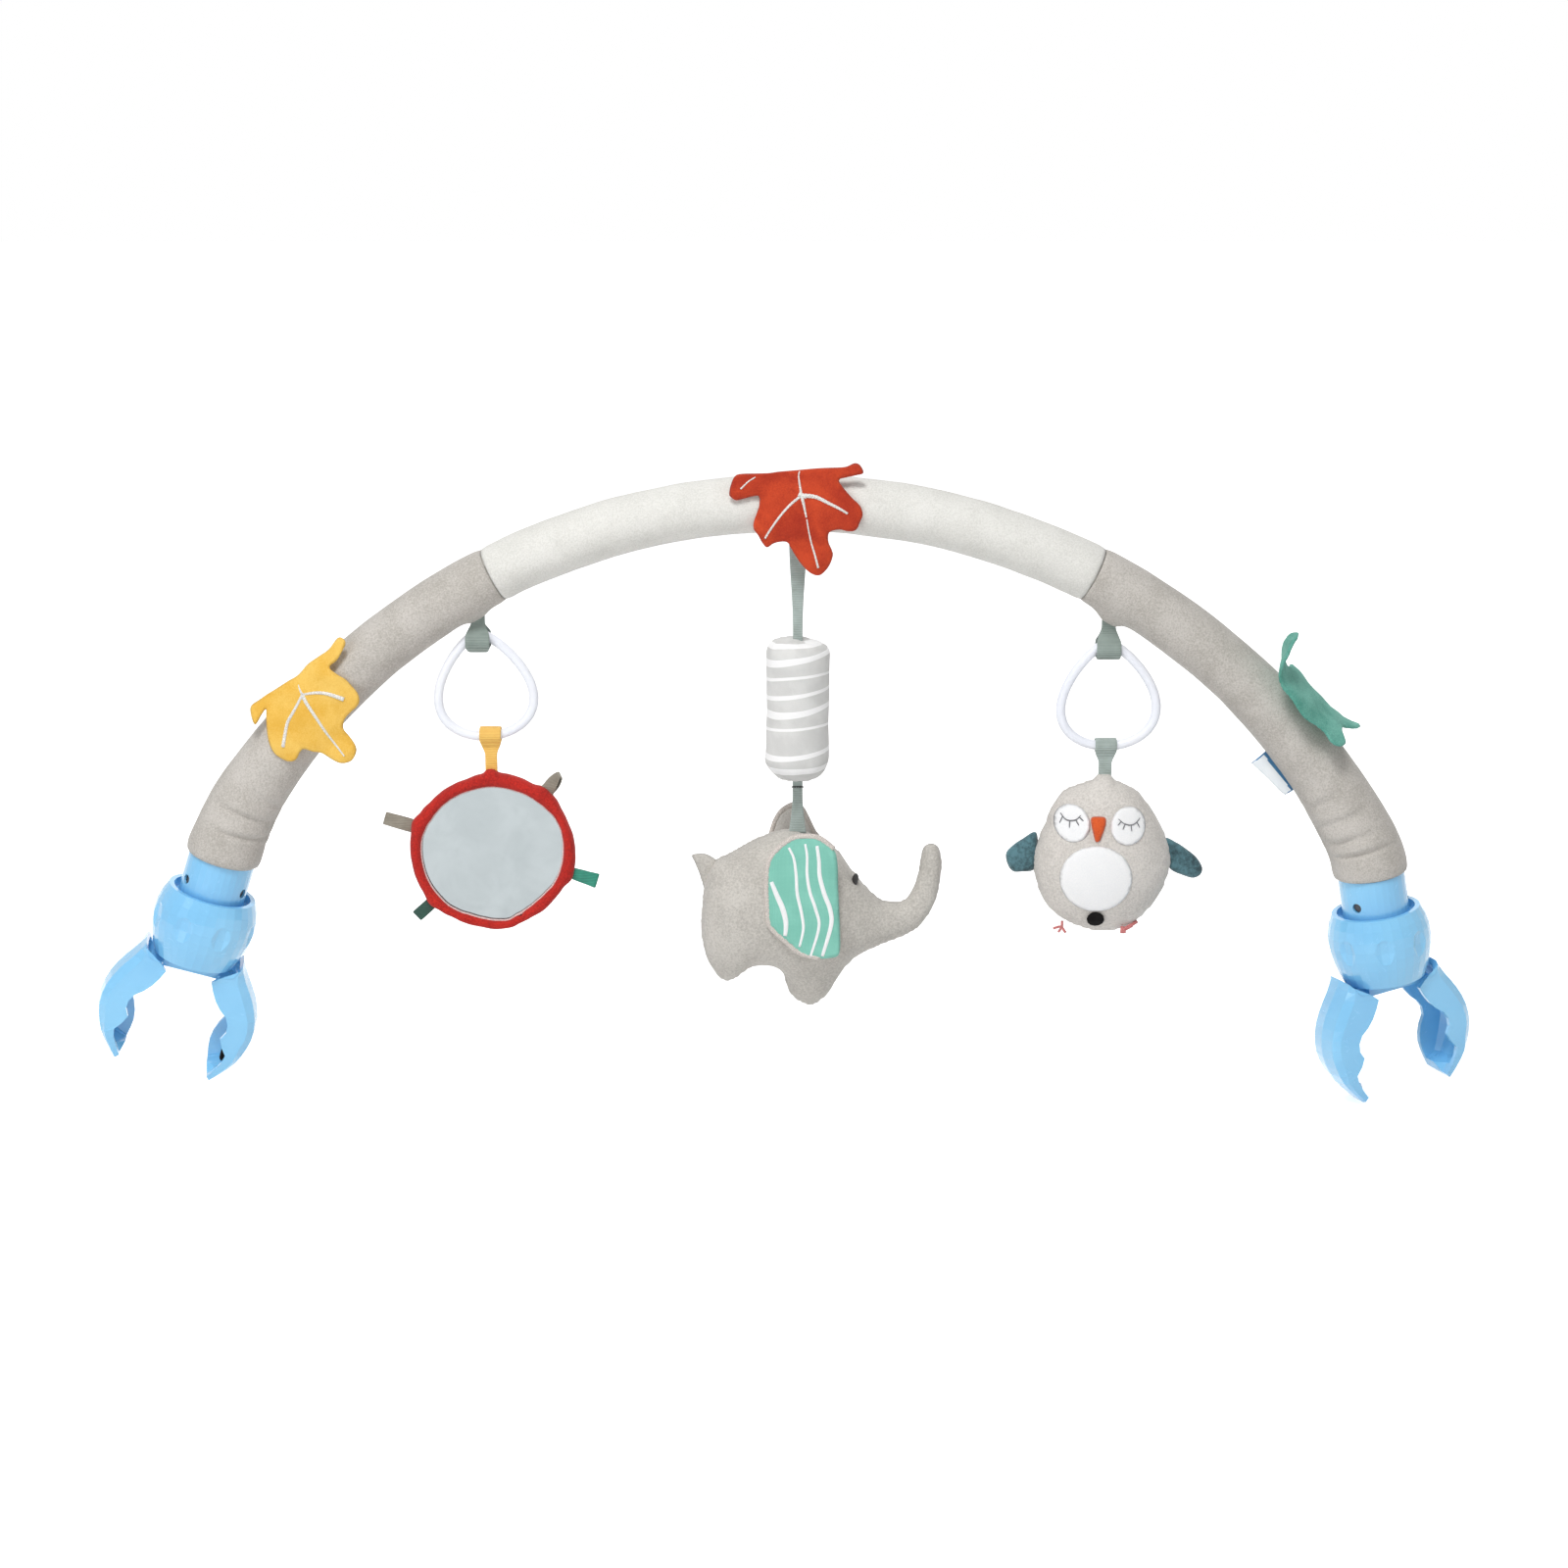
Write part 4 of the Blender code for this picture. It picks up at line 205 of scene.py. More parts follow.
def ribbon_cloth(name, light, dark, sheen=0.15):
    """A ribbed ribbon: cords across it and a faint gloss."""
    paint = Paint(name, light, 0.5, sheen_weight=sheen, sheen_roughness=0.4)
    across, deep, up = paint.axes()
    ribs = paint.ripple(paint.plus(up, paint.times(deep, 0.7)), RIB_PITCH)
    threads = paint.ripple(across, RIB_PITCH * 0.45)
    shade = paint.plus(paint.times(ribs, 0.35), paint.times(paint.noise(160, 2.0), 0.65))
    colour = paint.blend(shade, 0.25, 0.7, dark, light)
    return paint.finish(colour, paint.plus(ribs, paint.times(threads, 0.25)), 0.00014, 0.8)


def plastic(name, light, dark, roughness, coat):
    """Glossy moulded plastic with a faint orange peel and handling marks."""
    paint = Paint(name, light, roughness, coat_weight=coat, coat_roughness=0.08)
    colour = paint.blend(paint.noise(28, 2.0, 0.5), 0.3, 0.7, dark, light)
    peel = paint.noise(420, 2.0, 0.5)
    rubs = paint.noise(180, 4.0, 0.7, distortion=1.2)
    gloss = paint.span(rubs, 0.45, 0.75, roughness, roughness + 0.16)
    return paint.finish(colour, peel, 0.00003, 0.35, gloss)


def steel(name, colour):
    """Steel with fine streaks round its axis."""
    paint = Paint(name, colour, 0.32, metallic=1.0)
    stretched = paint.add("Mapping", {"Vector": paint.place, "Scale": (1, 1, 12)})[0]
    streaks = paint.noise(900, 3.0, 0.6, stretched)
    tint = paint.blend(streaks, 0.3, 0.7, darker(colour, 0.72), colour)
    gloss = paint.span(streaks, 0.3, 0.7, 0.26, 0.42)
    return paint.finish(tint, streaks, 0.00002, 0.4, gloss)


def mirror_film(name):
    """Safe mirror film: soft, slightly wrinkled reflections."""
    paint = Paint(name, (158, 168, 171), 0.12, metallic=1.0)
    waves = paint.noise(38, 3.0, 0.55, distortion=0.8)
    creases = paint.noise(110, 4.0, 0.65, distortion=2.0)
    tint = paint.blend(waves, 0.3, 0.7, (156, 163, 165), (164, 171, 173))
    gloss = paint.span(creases, 0.35, 0.7, 0.08, 0.2)
    height = paint.plus(waves, paint.times(creases, 0.3))
    return paint.finish(tint, height, 0.00022, 0.3, gloss)


def rubber(name, colour):
    """Matt rubber with dust on it."""
    paint = Paint(name, colour, 0.8, specular_IOR_level=0.12)
    grain = paint.noise(1500, 2.0)
    dust = paint.noise(200, 3.0)
    dusty = tuple(channel + 6 for channel in colour)
    gloss = paint.span(dust, 0.3, 0.7, 0.7, 0.85)
    return paint.finish(paint.blend(dust, 0.45, 0.8, colour, dusty), grain, 0.00008, 0.5, gloss)


def foam_rubber(name, colour):
    paint = Paint(name, colour, 0.95)
    cells = paint.add("TexVoronoi", {"Vector": paint.place, "Scale": 700.0})[0]
    tint = paint.blend(cells, 0.1, 0.6, darker(colour, 0.86), colour)
    return paint.finish(tint, cells, 0.0005, 0.7)


# Each stripe: height on the rattle and its rise across and round it, half width left and right
STRIPES = (
    (186.3, 0.6, 0.6, 1.2, 0.6), (180.9, 2.6, -0.6, 1.9, 1.0), (171.6, 1.5, 1.0, 0.8, 0.6),
    (163.9, 2.3, 0.0, 1.1, 0.8), (156.4, 2.3, -0.7, 1.9, 1.1), (147.8, 1.2, 1.0, 0.7, 0.6),
    (136.4, 1.8, -1.0, 1.4, 1.0), (129.0, 0.8, -0.4, 1.7, 1.3),
)  # fmt: skip


RATTLE_MIDDLE = 0.0022
RATTLE_RADIUS = 0.0148


def striped_cloth(name, ground, stripe):
    """Grey cloth with white stripes that rise and fall round the rattle."""
    paint = Paint(name, ground, 0.9, sheen_weight=0.2, sheen_roughness=0.5)
    across, deep, up = paint.axes()
    side = paint.math("DIVIDE", paint.math("SUBTRACT", across, RATTLE_MIDDLE), RATTLE_RADIUS)
    front = paint.math("DIVIDE", deep, -RATTLE_RADIUS)
    sway = paint.math("MULTIPLY_ADD", paint.noise(45, 1.0), 0.0016, -0.0008)
    height = paint.plus(up, sway)
    share = 0.0
    for level, rise, round_it, left, right in STRIPES:
        line = paint.math("MULTIPLY_ADD", side, rise * MM, level * MM)
        line = paint.math("MULTIPLY_ADD", front, round_it * MM, line)
        off = paint.math("ABSOLUTE", paint.math("SUBTRACT", height, line))
        half = paint.math("MULTIPLY_ADD", side, (right - left) / 2 * MM, (left + right) / 2 * MM)
        edge = paint.math("SUBTRACT", off, half)
        share = paint.math("MAXIMUM", paint.span(edge, -0.00012, 0.00012, 1.0, 0.0), share)
    base = paint.blend(paint.noise(120, 3.0), 0.3, 0.7, darker(ground, 0.95), ground)
    colour = paint.mix(share, base, srgb(*stripe))
    return paint.finish(colour, paint.noise(1800, 2.0), 0.0002, 0.6)


def thread(name, colour):
    paint = Paint(name, colour, 0.6, sheen_weight=0.3, sheen_roughness=0.4)
    twist = paint.noise(2600, 2.0)
    tint = paint.blend(twist, 0.35, 0.65, darker(colour, 0.8), colour)
    return paint.finish(tint, twist, 0.0001, 0.7)


M = {
    "cream": plush("cream_velour", (238, 237, 232), (219, 218, 212), 1300),
    "grey": plush("grey_velour", (210, 205, 199), (176, 171, 163), 1300),
    "plush": plush("grey_plush", (211, 207, 200), (179, 175, 168), 1000, seam=True),
    # Pale grey like the body's plush, set lighter than it: painted light on the far ear, which lies
    # in the body's shade.
    "taupe_cloth": plush("far_ear_cloth", (228, 224, 218), (212, 208, 202), 1300),
    "red_leaf": plush("red_cloth", (210, 72, 32), (168, 42, 15), 1500, 0.7, 0.05),
    "yellow_leaf": plush("yellow_cloth", (251, 208, 106), (236, 182, 66), 1500, 0.6, 0.08),
    "green_leaf": plush("green_cloth", (126, 196, 180), (76, 150, 134), 1500, 0.6, 0.1),
    "red_frame": plush("red_frame_cloth", (206, 40, 28), (160, 22, 16), 1300, 0.3, 0.08),
    "wing": plush("teal_wing_cloth", (94, 136, 146), (46, 70, 76), 500, 0.5, 0.3),
    "mint": woven("mint_cloth", (146, 216, 198), (128, 200, 182)),
    "owl": plush("owl_plush", (226, 221, 215), (198, 193, 187), 1000, seam=True),
    "felt": plush("white_felt", (255, 255, 255), (248, 249, 251), 1700),
    "beak": plush("orange_felt", (228, 98, 40), (204, 76, 30), 1500),
    "tag": woven("plain_tag", (250, 253, 255), (238, 245, 250)),
    "tag_edge": woven("tag_edge", (92, 148, 188), (66, 120, 166)),
    "ribbon": ribbon_cloth("grey_green_ribbon", (176, 190, 186), (146, 158, 152)),
    "loop": ribbon_cloth("hanger_ribbon", (150, 164, 158), (120, 133, 126)),
    "yellow_ribbon": ribbon_cloth("yellow_ribbon", (250, 206, 106), (236, 178, 80)),
    "taupe_tab": ribbon_cloth("taupe_ribbon", (152, 145, 131), (126, 119, 106)),
    "green_tab": ribbon_cloth("green_ribbon", (40, 152, 126), (16, 110, 92), sheen=0.05),
    "dark_tab": ribbon_cloth("dark_green_ribbon", (20, 78, 62), (8, 52, 42), sheen=0.03),
    "stripes": striped_cloth("wavy_striped_cloth", (222, 222, 220), (252, 252, 252)),
    "blue": plastic("blue_plastic", (138, 208, 249), (126, 198, 243), 0.16, 0.5),
    "white_plastic": plastic("white_plastic", (228, 230, 232), (214, 217, 220), 0.35, 0.05),
    "grey_plastic": plastic("core_plastic", (92, 94, 98), (78, 80, 84), 0.45, 0.0),
    "ring": plastic("milky_ring", (246, 248, 254), (240, 243, 252), 0.3, 0.1),
    "steel": steel("pin_steel", (150, 152, 156)),
    "dark_steel": steel("stud_steel", (84, 86, 92)),
    "film": mirror_film("mirror_film"),
    "rubber": rubber("black_rubber", (4, 3, 3)),
    "foam": foam_rubber("foam", (236, 232, 220)),
    "white_thread": thread("white_thread", (250, 249, 244)),
    "grey_thread": thread("grey_thread", (120, 121, 126)),
    "pink_thread": thread("pink_thread", (222, 130, 128)),
    "dark_thread": thread("dark_thread", (40, 39, 38)),
    "rim_thread": thread("pale_rim_thread", (238, 206, 203)),
    "piping": thread("pinkish_piping", (228, 219, 211)),
}

# The frame's own nodes that show as they are, and what they are made of
RIGID_LOOKS = {
    "arch_core": "grey_plastic", "foam_padding": "foam", "tip_bumper": "rubber",
    "owl_button": "rubber", "mirror_plate": "film", "rattle_capsule": "white_plastic",
}  # fmt: skip
CLAW_LOOKS = {
    "neck": "blue", "knob": "blue", "jaw_block": "blue", "left_jaw": "blue", "right_jaw": "blue",
    "end_plug": "white_plastic", "plunger": "white_plastic", "left_jaw_pin": "steel",
    "right_jaw_pin": "steel", "retaining_clip": "dark_steel",
}  # fmt: skip
for _, word in SIDES:
    RIGID_LOOKS |= {f"{node}_{word}": look for node, look in CLAW_LOOKS.items()}

for node, look in RIGID_LOOKS.items():
    data = frame["nodes"][node].data
    data.materials.clear()
    data.materials.append(M[look])


# Lines and numbers


def turns(count):
    """Angles that share a full turn, in radians."""
    return [2 * pi * step / count for step in range(count)]


def hump(off, reach):
    """1 in the middle, falling to a third at this reach and then to 0."""
    return exp(-((off / reach) ** 2))


def squared(value, power):
    """A cosine or sine that makes a circle squarer the smaller the power."""
    return copysign(abs(value) ** power, value)


def eased(share):
    share = min(1, max(0, share))
    return share * share * (3 - 2 * share)


def apart(angle, middle):
    """Degrees from one angle to another, from -180 to 180."""
    return (angle - middle + 180) % 360 - 180


def spoke_at(angle):
    """A unit spoke in the plane of the front, at this angle up from the right."""
    turn = radians(angle)
    return Vector((cos(turn), 0, sin(turn)))


def crumple(point, scale, seed=0.0):
    """Smooth unevenness from -1 to 1 at this scale in metres."""
    return noise.noise(Vector(point) / scale + Vector((seed, seed * 1.7, seed * 0.3)))


def tangents(points, close=False):
    """The line's direction at each of its points."""
    found = []
    for index, point in enumerate(points):
        before = points[index - 1] if index or close else point
        after = points[(index + 1) % len(points)] if close or point is not points[-1] else point
        found.append((after - before).normalized())
    return found


def smooth_line(points, steps, close=False):
    """Points on a smooth curve through the given ones."""
    points = [Vector(point) for point in points]
    count = len(points)
    found = []
    for index in range(count if close else count - 1):
        four = [index - 1, index, index + 1, index + 2]
        if close:
            four = [place % count for place in four]
        before, start, end, after = (points[min(max(place, 0), count - 1)] for place in four)
        slope_in, slope_out = (end - before) / 2, (after - start) / 2
        for step in range(steps):
            share = step / steps
            square, cube = share**2, share**3
            found.append(
                (2 * cube - 3 * square + 1) * start
                + (cube - 2 * square + share) * slope_in
                + (3 * square - 2 * cube) * end
                + (cube - square) * slope_out
            )
    return found if close else [*found, points[-1]]


def even_line(points, spacing, close=False, count=None):
    """Points at an even spacing along a line, or this many of them."""
    places = np.array([tuple(point) for point in points])
    if close:
        places = np.vstack([places, places[:1]])
    lengths = np.concatenate([[0], np.cumsum(np.linalg.norm(np.diff(places, axis=0), axis=1))])
    count = count or max(3, round(lengths[-1] / spacing)) + 1
    wanted = np.linspace(0, lengths[-1], count)[: -1 if close else None]
    columns = [np.interp(wanted, lengths, places[:, axis]) for axis in range(places.shape[1])]
    return [Vector(values) for values in np.array(columns).T]


def drawn(points, spacing, scale=MM, steps=6, close=False):
    """An even line on a smooth curve through flat points."""
    line = smooth_line([(across * scale, up * scale, 0) for across, up in points], steps, close)
    return even_line(line, spacing, close)


# Meshes


def link(name, data):
    obj = bpy.data.objects.new(name, data)
    bpy.context.scene.collection.objects.link(obj)
    return obj


def to_mesh(name, vertices, faces, weld=None):
    """A smooth mesh with its faces turned outward; weld joins points closer than that."""
    mesh = bpy.data.meshes.new(name)
    mesh.from_pydata([tuple(vertex) for vertex in vertices], [], [tuple(face) for face in faces])
    bm = bmesh.new()
    bm.from_mesh(mesh)
    bmesh.ops.recalc_face_normals(bm, faces=bm.faces)
    if weld:
        bmesh.ops.remove_doubles(bm, verts=bm.verts, dist=weld)
        bmesh.ops.recalc_face_normals(bm, faces=bm.faces)
    bm.to_mesh(mesh)
    bm.free()
    mesh.shade_smooth()
    return mesh


def piece(name, mesh, look, body, replaced=(), soft=None):
    """Adds a piece: its material and slot, its body, the nodes it stands for; soft, how full it is,
    is not used.
    """
    obj = link(name, mesh)
    mesh.materials.append(M[look])
    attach(obj, body)
    if replaced:
        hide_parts(*replaced)
    return obj


def rings_mesh(name, rings, close=False, caps=True):
    """A skin through rings of equally many points."""
    size, count = len(rings[0]), len(rings)
    vertices = [point for ring in rings for point in ring]
    faces = []
    for row in range(count if close else count - 1):
        near, far = row * size, (row + 1) % count * size
        for index in range(size):
            after = (index + 1) % size
            faces.append((near + index, near + after, far + after, far + index))
    for row in (0, count - 1) if caps and not close else ():
        vertices.append(sum((Vector(point) for point in rings[row]), Vector()) / size)
        for index in range(size):
            faces.append((row * size + index, row * size + (index + 1) % size, len(vertices) - 1))
    return to_mesh(name, vertices, faces)


def ring_round(centre, across, deep, sides=20, square=(1, 1)):
    """Points round a centre along two ways; powers below 1 make the ring squarer."""
    return [
        centre + across * squared(cos(turn), square[0]) + deep * squared(sin(turn), square[1])
        for turn in turns(sides)
    ]


def sweep(name, points, radii, sides=8, close=False, flatten=1.0):
    """A round thread or wire along the points, carried without twist."""
    points = [Vector(point) for point in points]
    radii = radii if isinstance(radii, list) else [radii] * len(points)
    ways = tangents(points, close)
    normal = Vector((0, 1, 0)) if abs(ways[0].y) < 0.9 else Vector((1, 0, 0))
    rings = []
    for point, way, radius in zip(points, ways, radii):
        normal = (normal - way * normal.dot(way)).normalized()
        across, deep = normal * (radius * flatten), way.cross(normal) * radius
        rings.append(ring_round(point, across, deep, sides))
    return rings_mesh(name, rings, close)


def cord(name, points, radii, look, body, replaced=(), parent=None, **form):
    """A thread or wire as a piece, sewn to its parent if it has one."""
    obj = piece(name, sweep(name, points, radii, **form), look, body, replaced)
    if parent:
        obj.parent = parent


def swelling(radius, count, ends, middle):
    """Radii of a thread that is thicker in its middle."""
    return [
        radius * (ends + middle * sin(pi * index / (count - 1)))
        for index in range(count)
    ]


def edge_distance(points, outline):
    """Distance from each flat point to the closed outline."""
    points = np.array([tuple(point)[:2] for point in points])
    start = np.array([tuple(point)[:2] for point in outline])
    step = np.roll(start, -1, axis=0) - start
    length = np.maximum((step**2).sum(axis=1), 1e-12)
    best = np.full(len(points), 1e9)
    for corner, way, square in zip(start, step, length):
        share = np.clip(((points - corner) @ way) / square, 0, 1)
        nearest = corner + share[:, None] * way
        best = np.minimum(best, np.linalg.norm(points - nearest, axis=1))
    return best


def inside(points, outline):
    """Which of the flat points lie inside the closed outline."""
    points = np.array([tuple(point)[:2] for point in points])
    corners = np.array([tuple(point)[:2] for point in outline])
    across, up = points.T
    result = np.zeros(len(points), dtype=bool)
    for last, corner in zip(np.roll(corners, 1, axis=0), corners):
        crosses = (corner[1] > up) != (last[1] > up)
        with np.errstate(divide="ignore", invalid="ignore"):
            at = (last[0] - corner[0]) * (up - corner[1]) / (last[1] - corner[1]) + corner[0]
        result ^= crosses & (across < at)
    return result


def flat_fill(outline, spacing):
    """Triangles that fill a flat outline: (points, faces, the points on its edge)."""
    edge = [point.to_2d() for point in drawn(outline, spacing, 1.0, close=True)]
    low = Vector((min(p.x for p in edge), min(p.y for p in edge)))
    high = Vector((max(p.x for p in edge), max(p.y for p in edge)))
    rise = spacing * sqrt(3) / 2
    grid = []
    for row in range(int((high.y - low.y) / rise) + 2):
        for column in range(int((high.x - low.x) / spacing) + 2):
            shift = spacing / 2 if row % 2 else 0
            grid.append((low.x + column * spacing + shift, low.y + row * rise))
    keep = inside(grid, edge) & (edge_distance(grid, edge) > spacing * 0.55)
    points = edge + [Vector(point) for point, kept in zip(grid, keep) if kept]
    made = geometry.delaunay_2d_cdt(points, [], [list(range(len(edge)))], 1, spacing * 0.01)
    return made[0], made[2], edge


def sewn(name, outline, spacing, height, place):
    """Two layers sewn at their edge; height gives half the thickness from the edge distances."""
    points, faces, edge = flat_fill(outline, spacing)
    gaps = edge_distance(points, edge)
    vertices, front, back = [], [], []
    for point, rise, gap in zip(points, height(points, gaps), gaps):
        on_rim = gap < spacing * 0.05
        front.append(len(vertices))
        vertices.append(place(point.x, point.y, 0 if on_rim else rise))
        if not on_rim:
            vertices.append(place(point.x, point.y, -rise))
        back.append(len(vertices) - 1)
    skin = [tuple(front[index] for index in face) for face in faces]
    skin += [tuple(back[index] for index in reversed(face)) for face in faces]
    return to_mesh(name, vertices, skin)


def pad_height(half, rounding, stitch=None, depth=0.0):
    """Half thickness of a sewn pad: round at its edge, with a stitched line inside it."""

    def height(points, gaps):
        share = np.clip(gaps / rounding, 0, 1)
        rise = half * np.sqrt(1 - (1 - share) ** 2)
        if stitch:
            rise = rise - depth * np.exp(-(((gaps - stitch) / (0.3 * stitch)) ** 2))
        return rise

    return height


RELAX_ROUNDS = 2600


class Stuffing:
    """How far a stuffed, sewn outline swells at each place."""

    def __init__(self, outline, spacing, fullness):
        line = smooth_line([(*point, 0) for point in outline], 6, True)
        corners = np.array([tuple(point)[:2] for point in line])
        self.low = corners.min(axis=0) - 2 * spacing
        self.spacing = spacing
        self.fullness = fullness
        count = np.ceil((corners.max(axis=0) + 2 * spacing - self.low) / spacing).astype(int)
        columns, rows = np.meshgrid(np.arange(count[0]), np.arange(count[1]), indexing="ij")
        places = np.stack([columns.ravel(), rows.ravel()], axis=1) * spacing + self.low
        mask = inside(places, line).reshape(columns.shape)
        level = np.zeros(columns.shape)
        for _ in range(RELAX_ROUNDS):
            around = sum(np.roll(level, step, axis) for axis in (0, 1) for step in (1, -1))
            level = np.where(mask, (around + spacing**2) / 4, 0)
        self.level = level

    def __call__(self, across, up):
        place = (np.array([across, up]) - self.low) / self.spacing
        column, row = np.floor(place).astype(int)
        right, above = place - (column, row)
        column, row = np.clip((column, row), 0, np.array(self.level.shape) - 2)
        corner = self.level[column : column + 2, row : row + 2]
        low = corner[0, 0] * (1 - right) * (1 - above) + corner[1, 0] * right * (1 - above)
        high = corner[0, 1] * (1 - right) * above + corner[1, 1] * right * above
        return self.fullness * sqrt(max(0.0, 2 * (low + high)))


# Arch


ARCH_RISE = 251 * MM
CROWN_RADIUS = 301 * MM
SHOULDER_RADIUS = {-1: 133 * MM, 1: 60 * MM}
CROWN_ANGLE = {-1: 56.2, 1: 61.1}
END_ANGLE = {-1: 72.0, 1: 80.0}
SLEEVE_RADIUS = 13 * MM
SLEEVE_END_RADIUS = 17.8 * MM
HEM_RADIUS = 16.2 * MM
HEM_LENGTH = 7 * MM
SEAM_ANGLE = 27.0
SEAM_GAP = 0.03
ARCH_STEP = 0.3
SLEEVE_SIDES = 56


def arch_point(side, angle):
    """Where the arch's axis is, this many degrees down one side, and the way outward there."""
    on_crown = radians(min(angle, CROWN_ANGLE[side]))
    turn = radians(angle)
    shoulder = SHOULDER_RADIUS[side]
    extra = CROWN_RADIUS - shoulder
    across = extra * sin(on_crown) + shoulder * sin(turn)
    down = CROWN_RADIUS - extra * cos(on_crown) - shoulder * cos(turn)
    outward = Vector((side * sin(turn), 0, cos(turn)))
    return Vector((side * across, 0, ARCH_RISE - down)), outward


def down_leg(side, angle):
    """The way down the leg at this place of the arch."""
    turn = radians(angle)
    return Vector((side * cos(turn), 0, -sin(turn)))


def leg_length(side, angle):
    crown = CROWN_ANGLE[side]
    on_crown = radians(min(angle, crown)) * CROWN_RADIUS
    return on_crown + radians(max(0, angle - crown)) * SHOULDER_RADIUS[side]


def sleeve_radius(side, angle):
    """The sleeve widens down the leg, and its hem is drawn in."""
    length = leg_length(side, END_ANGLE[side])
    share = leg_length(side, angle) / length
    radius = SLEEVE_RADIUS + (SLEEVE_END_RADIUS - SLEEVE_RADIUS) * share**4.5
    left_over = length * (1 - share)
    if left_over < HEM_LENGTH:
        drawn_in = sqrt(max(0, 1 - (1 - left_over / HEM_LENGTH) ** 2))
        radius = HEM_RADIUS + (radius - HEM_RADIUS) * drawn_in
    return radius


# Creases in the sleeves: leg, distance up from the hem, place round the leg, slant, depth
CREASES = (
    (-1, 17, 205, 0.35, 0.9), (-1, 27, 190, 0.25, 0.8), (-1, 38, 215, -0.2, 0.55),
    (-1, 12, 320, -0.3, 0.6), (1, 15, 190, 0.3, 1.0), (1, 24, 205, 0.3, 0.9),
    (1, 34, 185, 0.2, 0.7), (1, 46, 215, -0.15, 0.5), (1, 19, 330, -0.3, 0.6),
)  # fmt: skip


def crease_depth(side, up, turn):
    """How far the creases draw the cloth in at a distance up the leg and an angle round it."""
    total = 0.0
    for leg, height, middle, slant, depth in CREASES:
        if leg == side:
            off = apart(turn, middle)
            above = up - (height * MM + slant * MM * off * 0.12)
            dip = 1.5 * hump(above, 1.3 * MM) - 0.8 * hump(above - 3.4 * MM, 2.0 * MM)
            total += depth * MM * hump(off, 42) * dip
    return total


# Where a hanger's ribbon draws the sleeve's underside down: joint, how far, half length
FUNNELS = {-1: ("ring_swing_left", 5.2 * MM, 4.8 * MM), 1: ("ring_swing_right", 9.4 * MM, 5.4 * MM)}


def funnel(side, spot, spoke):
    """How far a hanger draws this place of the sleeve straight down."""
    joint, depth, reach = FUNNELS[side]
    off = abs(spot.x - JOINTS[joint].x) / reach
    return depth * max(0.0, -spoke.z) ** 6 / (1 + off**4) ** 1.1


def sleeve(node, places, look, ends):
    """A padded sleeve with a drawn seam at each end, soft unevenness and creases."""
    rings = []
    for side, angle in places:
        centre, outward = arch_point(side, angle)
        radius = sleeve_radius(side, angle)
        run = leg_length(side, angle)
        up_leg = leg_length(side, END_ANGLE[side]) - run
        pinch = sum(0.55 * MM * hump(side * run - end, 1.6 * MM) for end in ends)
        ring = []
        for step in range(SLEEVE_SIDES):
            turn = 360 * step / SLEEVE_SIDES
            spoke = FRONT * sin(radians(turn)) + outward * cos(radians(turn))
            spot = centre + spoke * radius
            rough = 0.35 * MM * crumple(spot, 26 * MM) + 0.14 * MM * crumple(spot, 9 * MM, 3.1)
            seam = 0.5 * MM * hump(apart(turn, 165), 4)
            change = rough - pinch - seam - crease_depth(side, up_leg, (turn + 90) % 360)
            spot = centre + spoke * (radius + change)
            spot.z -= funnel(side, spot, spoke)
            ring.append(spot)
        rings.append(ring)
    mesh = rings_mesh(f"{node}_cloth", rings, caps=False)
    obj = piece(f"{node}_cloth", mesh, look, "arch", (node,), 0.85)
    skin = obj.modifiers.new("cloth", "SOLIDIFY")
    skin.thickness = 1.1 * MM
    skin.offset = -1


def arch_places(side, start, end):
    count = max(2, ceil((end - start) / ARCH_STEP))
    return [(side, start + (end - start) * index / count) for index in range(count + 1)]


def build_sleeves():
    seam = radians(SEAM_ANGLE) * CROWN_RADIUS
    centre = list(reversed(arch_places(-1, 0, SEAM_ANGLE - SEAM_GAP)))
    centre += arch_places(1, 0, SEAM_ANGLE - SEAM_GAP)[1:]
    sleeve("sleeve_centre", centre, "cream", (-seam, seam))
    for side, word in SIDES:
        places = arch_places(side, SEAM_ANGLE + SEAM_GAP, END_ANGLE[side])
        sleeve(f"sleeve_{word}", places, "grey", (side * seam,))


def bent_in_front(rise, stand, outward):
    """The form of a leaf that lies on the front: it bends back over the sleeve."""

    def form(across, up):
        flat = Vector((across, 0, up))
        over = rise + flat.dot(outward)
        bend = 60 * MM if over > 0 else 250 * MM
        return flat + FRONT * (stand - over**2 / (2 * bend)), FRONT + outward * (over / bend)

    return form


def curled(across_way, up_way, facing, stand):
    """The form of a leaf that wraps the leg's outer side, with both of its ends turned up."""
    wrap = 52 * MM

    def form(across, up):
        start, radius, flare = (11 * MM, 15 * MM, 0.24) if up > 0 else (-14 * MM, 34 * MM, 0.0)
        past = max(0.0, (up - start) * copysign(1, up)) / radius
        along = start + copysign(radius * sin(past), up) if past else up
        rise = radius * (1 - cos(past)) + flare * across * min(past, 1.0)
        round_it = across / wrap
        spot = up_way * along + across_way * (wrap * sin(round_it))
        spot += facing * (stand + rise - wrap * (1 - cos(round_it)))
        lean = up_way * (-copysign(sin(past), up))
        normal = (facing * cos(past) + lean) * cos(round_it)
        return spot, normal + across_way * sin(round_it)

    return form


